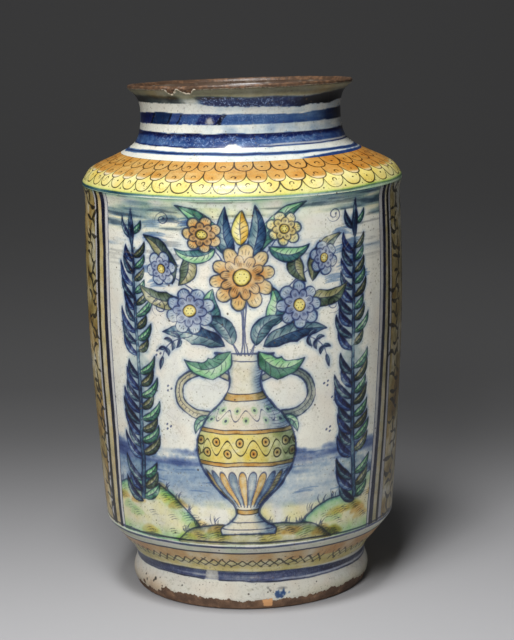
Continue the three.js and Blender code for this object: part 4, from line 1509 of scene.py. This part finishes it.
# %% Writing shader maths
class Wire:
    """A socket of a material. Sums written with it add the Math nodes that work them out."""

    def __init__(self, tree, socket=None):
        self.tree, self.socket = tree, socket

    def node(self, kind, settings=None, inputs=None, output=0):
        """Add any node: its settings first, then the values or wires of its sockets."""
        made = self.tree.nodes.new(kind)
        for key, value in (settings or {}).items():
            setattr(made, key, value)
        for key, value in (inputs or {}).items():
            if isinstance(value, Wire):
                self.tree.links.new(value.socket, made.inputs[key])
            else:
                made.inputs[key].default_value = value
        return Wire(self.tree, made.outputs[output])

    def maths(self, operation, one, other):
        """A Math node on two wires or numbers."""
        return self.node("ShaderNodeMath", {"operation": operation}, {0: one, 1: other})

    def __add__(self, other):
        return self.maths("ADD", self, other)

    def __mul__(self, other):
        return self.maths("MULTIPLY", self, other)

    def __sub__(self, other):
        return self.maths("SUBTRACT", self, other)

    def __rsub__(self, other):
        return self.maths("SUBTRACT", other, self)

    __radd__, __rmul__ = __add__, __mul__

    def ramp(self, low, high):
        """0 at the low value, 1 at the high one, and an S-shaped rise between."""
        values = {"Value": self, "From Min": low, "From Max": high}
        return self.node("ShaderNodeMapRange", {"interpolation_type": "SMOOTHSTEP"}, values)

    def mark(self, name):
        """A number that was put on the points of the piece."""
        return self.node("ShaderNodeAttribute", {"attribute_name": name}, output="Fac")

    def blend(self, one, other, share, kind="MIX"):
        """One colour turning into another by a share, or multiplied by it."""
        settings = {"data_type": "RGBA", "blend_type": kind}
        return self.node("ShaderNodeMix", settings, {0: share, 6: one, 7: other}, output=2)

    def noise(self, size, detail=2.0, stretch=(1, 1, 1)):
        """Noise whose bumps are about size millimetres wide, longer where stretch is under 1."""
        scale = tuple(k / (size * MM) for k in stretch)
        where = self.node("ShaderNodeVectorMath", {"operation": "MULTIPLY"}, {0: self.place(), 1: scale})
        return self.node("ShaderNodeTexNoise", {}, {"Vector": where, "Scale": 1.0, "Detail": detail})

    def place(self):
        """Object coordinates: the place on the jar in metres, which no change of size stretches."""
        return self.node("ShaderNodeTexCoord", output="Object")

    def cells(self, size, feature="F1", output="Distance"):
        """Scattered points about size millimetres apart, and the distance to them or to their borders."""
        values = {"Vector": self.place(), "Scale": 1 / (size * MM)}
        return self.node("ShaderNodeTexVoronoi", {"feature": feature}, values, output)


def finish(name, build):
    """A material whose Principled shader gets what build(wire) returns, by socket name."""
    material = bpy.data.materials.new(name)
    material.use_nodes = True
    tree = material.node_tree
    shader = tree.nodes["Principled BSDF"]
    for socket, value in build(Wire(tree)).items():
        if isinstance(value, Wire):
            tree.links.new(value.socket, shader.inputs[socket])
        else:
            shader.inputs[socket].default_value = value
    print("material", name, "has", len(tree.nodes), "nodes")
    return material


def colour(values):
    """A colour socket's four numbers, with full cover."""
    return (*(float(v) for v in values), 1.0)


print("a full white socket is", colour((1, 1, 1)))

# %% [markdown]
# Fired clay is dull and uneven: two browns, dark grains and a dust of worn glaze, polished and stained at
# the lip. One flat brown would look like plastic, so the colour is layers of noise of different sizes.

# %% The bare clay
def clay_tone(w):
    """Brown earthenware: two browns in blotches, darker grains and pale dust, and stained at the lip."""
    blotch = w.noise(7, 4.0).ramp(0.35, 0.68)
    grain = w.noise(0.8, 2.0).ramp(0.45, 0.75)
    pale = w.noise(3.5, 3.0).ramp(0.62, 0.78)
    tone = w.blend(colour(linear(92, 71, 57)), colour(linear(126, 98, 78)), blotch)
    tone = w.blend(tone, colour(linear(66, 53, 45)), 0.55 * grain)
    tone = w.blend(tone, colour(linear(176, 140, 108)), 0.5 * pale)
    height = w.node("ShaderNodeSeparateXYZ", inputs={"Vector": w.place()}, output="Z")
    stain = w.noise(3, 3.0).ramp(0.42, 0.7)
    stained = w.blend(colour(linear(62, 46, 34)), colour(linear(104, 76, 54)), stain)
    return w.blend(tone, stained, 0.85 * height.ramp(0.285, 0.296))


def build_clay(w):
    """Clay: its tone, a rough face that is smoother at the stained lip, and a fine relief."""
    relief = w.noise(2.2, 4.0) + 0.5 * w.noise(0.6, 2.0)
    bump = w.node("ShaderNodeBump", {}, {"Strength": 0.5, "Distance": 0.0004, "Height": relief})
    height = w.node("ShaderNodeSeparateXYZ", inputs={"Vector": w.place()}, output="Z")
    rough = 0.78 - 0.2 * w.noise(5, 2.0) - 0.3 * height.ramp(0.285, 0.296)
    return {"Base Color": clay_tone(w), "Roughness": rough, "Normal": bump}


clay_finish = finish("fired_red_clay", build_clay)

# %% [markdown]
# Tin glaze is an opaque white glass. It is warmer where it is thin, cooler where it is thick, and mottled
# where tin gathered. One white would look like paper, so near whites are blended by several faint noises.

# %% The white ground of the glaze
def glaze_ground(w, wide, run, speck):
    """Near whites blended by noise from 34 down to 0.7 millimetres: patches, runs, tin and mottling."""
    ground = w.blend(colour(linear(213, 211, 197)), colour(linear(200, 201, 191)), wide.ramp(0.35, 0.65))
    ground = w.blend(ground, colour(linear(208, 196, 178)), 0.45 * w.noise(17, 2.0).ramp(0.46, 0.7))
    ground = w.blend(ground, colour(linear(176, 178, 184)), 0.3 * w.noise(11, 3.0).ramp(0.52, 0.78))
    ground = w.blend(ground, colour(linear(178, 174, 164)), 0.32 * run.ramp(0.5, 0.8))
    ground = w.blend(ground, colour(linear(160, 156, 148)), 0.4 * speck.ramp(0.56, 0.78))
    mottle = w.noise(1.7, 3.0).ramp(0.53, 0.7) * (0.25 + 0.75 * w.noise(15, 3.0).ramp(0.4, 0.62))
    ground = w.blend(ground, colour(linear(142, 140, 116)), 0.42 * mottle)
    return ground


def worn_glaze(w, tone):
    """Crazing, pinholes and flecks over a tone. Returns the tone, the crazing and the pinholes."""
    craze = w.cells(6.5, "DISTANCE_TO_EDGE").ramp(0.028, 0.004) * w.noise(22, 2.0).ramp(0.45, 0.7)
    tone = w.blend(tone, colour(linear(120, 110, 96)), 0.22 * craze)
    picked = w.cells(7.5, output="Color").ramp(0.5, 0.56)
    pit = w.cells(7.5).ramp(0.1, 0.06) * picked
    tone = w.blend(tone, colour(linear(72, 62, 52)), 0.85 * pit)
    fleck = w.cells(2.3).ramp(0.22, 0.1) * w.noise(9, 4.0).ramp(0.43, 0.57)
    tone = w.blend(tone, colour(linear(92, 82, 68)), 0.65 * fleck)
    return tone, craze, pit


print("the white glaze on a screen is about", (WHITE ** (1 / 2.2) * 255).round())

# %% [markdown]
# The paint is glass over glass. The tint on the points is raised to a power that changes from place to
# place, so thick and thin paint come out by themselves. A drawn line is a distance, and a steep ramp
# turns that into an edge that stays sharp between the points. Where the glaze is lost, clay shows.

# %% The painted tin glaze
def build_glaze(w):
    """Ground times tint, then lines, foam and wear, then bare clay where the glaze is lost."""
    wide, close = w.noise(34, 3.0), w.noise(5, 4.0)
    run = w.noise(7, 3.0, (1, 1, 0.2))
    speck = w.noise(0.7, 1.0)
    ground = glaze_ground(w, wide, run, speck)

    thick = 0.72 + 0.56 * close
    paint = w.node("ShaderNodeAttribute", {"attribute_name": "tint"}, output="Color")
    paint = w.node("ShaderNodeGamma", {}, {"Color": paint, "Gamma": thick + 0.3 * (speck - 0.5)})
    tone = w.blend(ground, paint, 1.0, "MULTIPLY")

    ragged = 0.16 * (w.noise(0.9, 2.0) - 0.5)
    blue_line = (w.mark("cobalt") + ragged).ramp(-0.22, 0.22)
    dark_line = (w.mark("ink") + ragged).ramp(-0.2, 0.2)
    tone = w.blend(tone, colour(linear(62, 74, 114) / WHITE), blue_line * (0.7 + 0.4 * close), "MULTIPLY")
    tone = w.blend(tone, colour(linear(60, 58, 54) / WHITE), dark_line * (0.76 + 0.4 * close), "MULTIPLY")

    bared = w.mark("bare") + 0.9 * (w.noise(1.5, 3.0) - 0.5)
    lost = bared.ramp(-0.1, 0.1)
    rim = bared.ramp(-0.75, -0.2)
    bubble = w.cells(0.8).ramp(0.6, 0.2) * w.noise(1.9, 4.0).ramp(0.4, 0.62)
    tone = w.blend(tone, colour(linear(140, 160, 196)), 0.7 * bubble * w.mark("pale"))

    tone, craze, pit = worn_glaze(w, tone)

    white = rim * w.noise(1.1, 2.0).ramp(0.35, 0.55) * (0.25 + 0.75 * w.mark("pale").ramp(-0.2, -0.7))
    tone = w.blend(tone, colour(linear(226, 214, 196)), 0.8 * white)
    fresh = w.blend(clay_tone(w), colour(linear(214, 160, 110)), w.mark("pale").ramp(0.0, 1.2))
    tone = w.blend(tone, fresh, lost)

    relief = 0.5 * w.noise(9, 2.0) + 0.25 * w.noise(1.6, 2.0) - 1.6 * pit - 0.5 * craze
    relief = relief + lost * w.noise(1.4, 3.0) * 2.2
    bump = w.node("ShaderNodeBump", {}, {"Strength": 0.35, "Distance": 0.0003, "Height": relief})
    rough = 0.2 + 0.14 * wide + 0.1 * run + 0.5 * lost
    return {"Base Color": tone, "Roughness": rough, "Normal": bump, "IOR": 1.5}


glaze_finish = finish("painted_tin_glaze", build_glaze)

# %% [markdown]
# Inside, the potter swilled a thin, nearly clear glaze round the jar and poured it out. The brown clay
# shows through it. So it is a glossy brown in blotches with pale runs down the wall, not real glass,
# which would need light to pass through it.

# %% The lining glaze
def build_lining(w):
    """A brown in two blotched tones with pale runs, glossy, over a low swell."""
    blotch = w.noise(20, 4.0).ramp(0.35, 0.65)
    tone = w.blend(colour(linear(82, 69, 58)), colour(linear(62, 47, 38)), blotch)
    tone = w.blend(tone, colour(linear(150, 140, 126)), 0.4 * w.noise(6, 3.0, (1, 1, 0.3)).ramp(0.55, 0.75))
    relief = w.noise(12, 2.0) + 0.3 * w.noise(2, 2.0)
    bump = w.node("ShaderNodeBump", {}, {"Strength": 0.3, "Distance": 0.0004, "Height": relief})
    return {"Base Color": tone, "Roughness": 0.16 + 0.16 * blotch, "Normal": bump}


lining_finish = finish("clear_lining_glaze", build_lining)

# %% [markdown]
# Now the painted sheets become shells of glaze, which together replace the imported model's one node. How
# many columns and rows make one step of the back is given for each, because they have to divide evenly.

# %% Make the glaze shells
SHELLS = {  # each sheet, and how many of its columns and rows make one step of the back
    "glaze_neck": (neck, (8, 6)),
    "glaze_shoulder": (shoulder, (8, 4)),
    "glaze_foot": (foot, (8, 4)),
    "glaze_front_low": (front_halves[0], (8, 9)),
    "glaze_front_high": (front_halves[1], (8, 9)),
    "glaze_back_panel": (back, (8, 7)),
    "glaze_side_left": (sides["left"], (10, 7)),
    "glaze_side_right": (sides["right"], (10, 7)),
}


def marks_of(s, skip):
    """The paint on every point of a shell: the sheet's own points, then those behind them."""
    tint = np.concatenate([s.tint, np.ones(s.angle.shape + (1,))], -1)
    layers = {"tint": tint, "ink": s.ink, "cobalt": s.cobalt, "pale": s.pale, "bare": s.bare}
    size = {k: v.shape[2:] for k, v in layers.items()}
    return {
        k: np.concatenate([v.reshape(-1, *size[k]), v[:: skip[0], :: skip[1]].reshape(-1, *size[k])])
        for k, v in layers.items()
    }


for name, (s, skip) in SHELLS.items():
    made = piece(name, *shell(s, skip), glaze_finish, "tin_glaze", marks_of(s, skip))
    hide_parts("outer_tin_glaze")

# %% [markdown]
# Inside the glaze is the clay, one turned body with a wall of 7 to 9 millimetres, and inside that the
# clear lining. Both are profiles swept once round. A profile starts and ends on the axis, where all
# its columns meet in one point, so the solid has no hole.

# %% Turn a profile
def turned(profile, columns, sway=None):
    """Points and faces of a profile swept round the axis: radius times sine, less radius times cosine,
    and height. sway(angle, radius, height) may move them a little."""
    turn = np.linspace(0, 360, columns, endpoint=False)
    a, r = np.meshgrid(turn, profile[1:-1, 0], indexing="ij")
    z = np.broadcast_to(profile[1:-1, 1], a.shape)
    if sway:
        r, z = sway(a, r, z)
    rings = np.stack([r * np.sin(np.radians(a)), -r * np.cos(np.radians(a)), z], -1)
    poles = np.array([[0, 0, profile[0, 1]], [0, 0, profile[-1, 1]]])
    n = np.arange(a.size).reshape(a.shape)
    m = np.roll(n, -1, 0)
    quads = np.stack([n[:, :-1], m[:, :-1], m[:, 1:], n[:, 1:]], -1).reshape(-1, 4)
    bottom = np.stack([np.full(columns, a.size), m[:, 0], n[:, 0]], -1)
    top = np.stack([np.full(columns, a.size + 1), n[:, -1], m[:, -1]], -1)
    points = np.vstack([rings.reshape(-1, 3), poles]) * MM
    return points, quads.tolist() + bottom.tolist() + top.tolist()


cup = np.array([(0, 0), (20, 0), (22, 30), (18, 30), (16, 4), (0, 4)], float)
print("a turned cup of 8 columns has", len(turned(cup, 8)[1]), "faces")

# %% [markdown]
# The inside can't be seen below the neck, so it follows how such jars are made: thick at the foot, thinner
# as the wall rises, and with a round bend at the floor, because a finger can't make a corner. The
# stations are the outside's own, less the wall.

# %% The inside of the clay
BODY_WALL, SHOULDER_WALL, NECK_WALL, FOOT_WALL = 7, 7.5, 5.5, 9
BASE_RECESS, FLOOR_THICKNESS = 3.5, 9
FLOOR = BASE_RECESS + FLOOR_THICKNESS
SHOULDER_TURN = SHOULDER + SHOULDER_TURN_RISE
wall_line = smooth_curve([
    (WAIST_RADIUS - FOOT_WALL - 6, FLOOR), (WAIST_RADIUS - FOOT_WALL + 2.6, FLOOR + 4.5),
    (CORNER_RADIUS - FOOT_WALL, CORNER + 9), (LOW_BODY_RADIUS - BODY_WALL, CORNER + LOW_BODY_RISE + 9),
    (WIDE_BODY_RADIUS - BODY_WALL, CORNER + WIDE_BODY_RISE),
    (SHOULDER_RADIUS - BODY_WALL, SHOULDER_TURN - SHOULDER_WALL - 3)], 24)
upper_line = smooth_curve([
    (SHOULDER_RADIUS - BODY_WALL - 6.3, SHOULDER_TURN - 3),
    (NECK_ROOT_RADIUS - NECK_WALL, NECK_ROOT - SHOULDER_WALL / 2),
    (NECK_RADIUS - NECK_WALL, NECK), (LIP_RADIUS - LIP_WALL, RIM - LIP_ROUND)], 24)
inner = eased(evenly(np.vstack([[(0, FLOOR)], wall_line, upper_line]), 0.5), 6)
inner[0] = (0, FLOOR)
CLAY_COLUMNS = 240
print("inside: from the floor at", FLOOR, "mm to the lip,", len(inner), "points")


def moved_out(line, distance):
    """The line moved to its right by a distance, along its own normals."""
    slope = np.gradient(line, axis=0)
    slope /= np.linalg.norm(slope, axis=1)[:, None]
    return line + np.stack([slope[:, 1], -slope[:, 0]], 1) * distance

# %% [markdown]
# The clay body is one closed profile: under the foot, up inside the glaze, over the lip, and down the
# inside. The worn lip dips here and there by a slow noise, and at the two chips it is cut down and back. A
# Boolean with two rough balls would also chip it, but would leave ragged faces.

# %% Clay body
GLAZE_BED, LINING_BED = 0.93, 0.62  # how far the clay lies under the glaze and under the lining
RECESS_RADIUS = 56.1
glazed = outline[(ALONG > along_at(1.0)) & (ALONG < along_at(RIM - 1.3))][::24]
skin = moved_out(glazed, -GLAZE_BED)
lip = np.array([
    (LIP_RADIUS - 0.42, RIM - 1.25), (LIP_RADIUS - 0.4, RIM - 0.7), (LIP_RADIUS - 1.0, RIM),
    (LIP_RADIUS - LIP_WALL + 0.8, RIM), (LIP_RADIUS - LIP_WALL, RIM - LIP_ROUND)])
lip = eased(evenly(lip, 0.12), 3)
ring = np.array([
    (RECESS_RADIUS - BASE_RECESS, BASE_RECESS), (RECESS_RADIUS, 0), (FOOT_RADIUS - 1.7, 0),
    (FOOT_RADIUS - 0.6, 0.5), (FOOT_RADIUS - 0.45, 0.95)])
ring = np.vstack([[(0, BASE_RECESS), (20, BASE_RECESS), (40, BASE_RECESS)], eased(evenly(ring, 0.4), 2)])
clay_profile = np.vstack([ring, skin, lip, moved_out(inner, LINING_BED)[::-1][4::4]])
clay_profile[-1] = (0, FLOOR - LINING_BED)


def worn_lip(a, r, z):
    """The lip dips a little here and there, and into the two chips."""
    near = ease((z - RIM + 3) / 3)
    dip = 0.16 + 0.14 * wander(a, z * 0, 22, 91) + 0.08 * wander(a, z * 0, 5, 92)
    for (middle, wide), deep in zip(LIP_CHIPS, (1.2, 1.1)):
        off = np.radians((a - middle + 180) % 360 - 180) * LIP_RADIUS / (wide / 2)
        cut = ease(1.2 - abs(off)) * ease((r - LIP_RADIUS + LIP_WALL) / LIP_WALL)
        dip = dip + deep * cut * (0.8 + 0.3 * wander(a, z * 0, 4, 93))
        r = r - near * deep * cut
    low = ease((3 - z) / 3) * 0.12 * (1 + wander(a, z * 0, 6, 94))
    return r - low, z - near * np.clip(dip, 0, None) + settled(a, z)


points, faces = turned(clay_profile, CLAY_COLUMNS, worn_lip)
clay_body = piece("clay_body", points, faces, len(faces), clay_finish, "clay")
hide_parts("fired_clay_body")

# %% [markdown]
# The lining is a closed skin of half a millimetre, so that it is a real solid and not a painted face. It
# sways with the clay, and shallow ridges wind up its wall, as the potter's fingers left them.

# %% Lining
LINING = 0.5
behind, before = (line[::-1][3::4] for line in (moved_out(inner, LINING), inner))
lining_profile = np.vstack([behind[::-1], before])
lining_profile[0], lining_profile[-1] = (0, FLOOR - LINING), (0, FLOOR)


def thrown(a, r, z):
    """Shallow finger ridges on the inside wall, and the same sinking as the rest of the clay."""
    ridge = 0.06 * ease((z - 20) / 10) * ease((RIM - 8 - z) / 10) * np.sin(z / 2.6 + np.radians(a))
    return r + ridge, z + settled(a, z)


points, faces = turned(lining_profile, CLAY_COLUMNS, thrown)
lining = piece("lining", points, faces, len(faces), lining_finish, "lining_glaze")
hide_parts("inner_lining_glaze")

# %% [markdown]
# The stage is one bent sheet, as in a photographer's studio: a pale floor that rises into a backdrop
# behind the jar. In the picture it darkens evenly upwards as the light falls off, so the sweep's own
# colour paints that shade here.

# %% Floor and backdrop
def sweep(u, v):
    """u runs across and v along the floor and up: flat, then a quarter circle, then a wall."""
    radius, start = 0.5, 0.55
    bend = np.clip((v - start) / radius, 0, np.pi / 2)
    rise = np.clip(v - start - radius * np.pi / 2, 0, None)
    y = np.minimum(v, start) + radius * np.sin(bend)
    return np.stack([u, y, radius * (1 - np.cos(bend)) + rise], -1)


floor_rows = np.r_[np.linspace(-1.6, 0.5, 15), np.linspace(0.55, 3.2, 60)]
u, v = np.meshgrid(np.linspace(-3, 3, 25), floor_rows, indexing="ij")
n = np.arange(u.size).reshape(u.shape)
stage_faces = np.stack([n[:-1, :-1], n[1:, :-1], n[1:, 1:], n[:-1, 1:]], -1).reshape(-1, 4).tolist()


def build_stage(w):
    """Grey paper with painted shade: it darkens with the distance back and the height together, as
    the light falls off.
    """
    back_way = w.node("ShaderNodeSeparateXYZ", inputs={"Vector": w.place()}, output="Y")
    height = w.node("ShaderNodeSeparateXYZ", inputs={"Vector": w.place()}, output="Z")
    far = back_way + height
    # painted shade: the paper goes from pale to dark grey back and up, where the studio light falls off
    tone = w.blend((0.378, 0.376, 0.386, 1), (0.135, 0.135, 0.137, 1), far.ramp(-0.16, 0.42))
    tone = w.blend(tone, (0.052, 0.052, 0.0525, 1), far.ramp(0.25, 1.1))
    return {"Base Color": tone, "Roughness": 0.9, "Specular IOR Level": 0.1}


stage_mesh = bpy.data.meshes.new("studio_sweep")
stage_mesh.from_pydata(sweep(u, v).reshape(-1, 3), [], stage_faces)
stage_mesh.polygons.foreach_set("use_smooth", np.ones(len(stage_faces), bool))
stage_mesh.materials.append(finish("studio_paper", build_stage))
stage = bpy.data.objects.new("studio_sweep", stage_mesh)
bpy.context.scene.collection.objects.link(stage)

# %% [markdown]
# Two soft boxes light the jar: one above, which lays the shadow round the foot, and one in front, which
# opens up the shadows. Glossy glaze would mirror the second one as another bright square, so that lamp is
# hidden from reflections. The world adds a little light from all sides.

# %% Lamps
def lamp(name, place, target, side, power):
    """A soft box: a glowing square that faces the target."""
    light = bpy.data.lights.new(name, "AREA")
    light.shape = "SQUARE"
    light.size = side
    light.energy = power
    made = bpy.data.objects.new(name, light)
    made.location = place
    aim = np.array(target, float) - place
    yaw, pitch = math.atan2(-aim[0], aim[1]), math.atan2(aim[2], math.hypot(aim[0], aim[1]))
    made.rotation_euler = (pitch + math.pi / 2, 0, yaw)
    bpy.context.scene.collection.objects.link(made)
    return made


lamp("overhead_softbox", (-0.11, -0.48, 1.25), (0, 0, 0.15), 0.35, 13)
fill_light = lamp("front_fill", (-0.36, -1.18, 0.92), (0, 0, 0.15), 0.42, 18)
fill_light.visible_glossy = False
world = bpy.data.worlds.new("studio_air")
world.use_nodes = True
air = world.node_tree.nodes["Background"].inputs
air["Color"].default_value = (1.0, 1.0, 1.0, 1.0)
air["Strength"].default_value = 0.09
bpy.context.scene.world = world
bpy.context.scene.view_settings.view_transform = "Standard"

# %% [markdown]
# The camera stands about a metre off and looks a little down. Its lens, distance and tilt were worked out
# together from the rim, the painted rings and both sides of the jar. A longer lens from further off would
# flatten the mouth's ellipse.

# %% Camera
PICTURE_HEIGHT, FOCAL_LENGTH, AXIS_SHIFT = 640, 1783.8, 11.65  # all in pixels
PITCH, ROLL = 10.246, 1.366  # in degrees, downwards and anticlockwise
lens = bpy.data.cameras.new("camera")
lens.sensor_width = 36
lens.lens = 36 * FOCAL_LENGTH / PICTURE_HEIGHT
lens.shift_x = AXIS_SHIFT / PICTURE_HEIGHT
camera = bpy.data.objects.new("camera", lens)
camera.location = (0, -1.053, 0.3479)
camera.rotation_mode = "QUATERNION"
look = Quaternion((1, 0, 0), math.radians(90 - PITCH)) @ Quaternion((0, 0, 1), math.radians(-ROLL))
camera.rotation_quaternion = look
bpy.context.scene.collection.objects.link(camera)
bpy.context.scene.camera = camera
print("camera: lens", round(lens.lens, 2), "mm, sideways shift", round(lens.shift_x, 4))
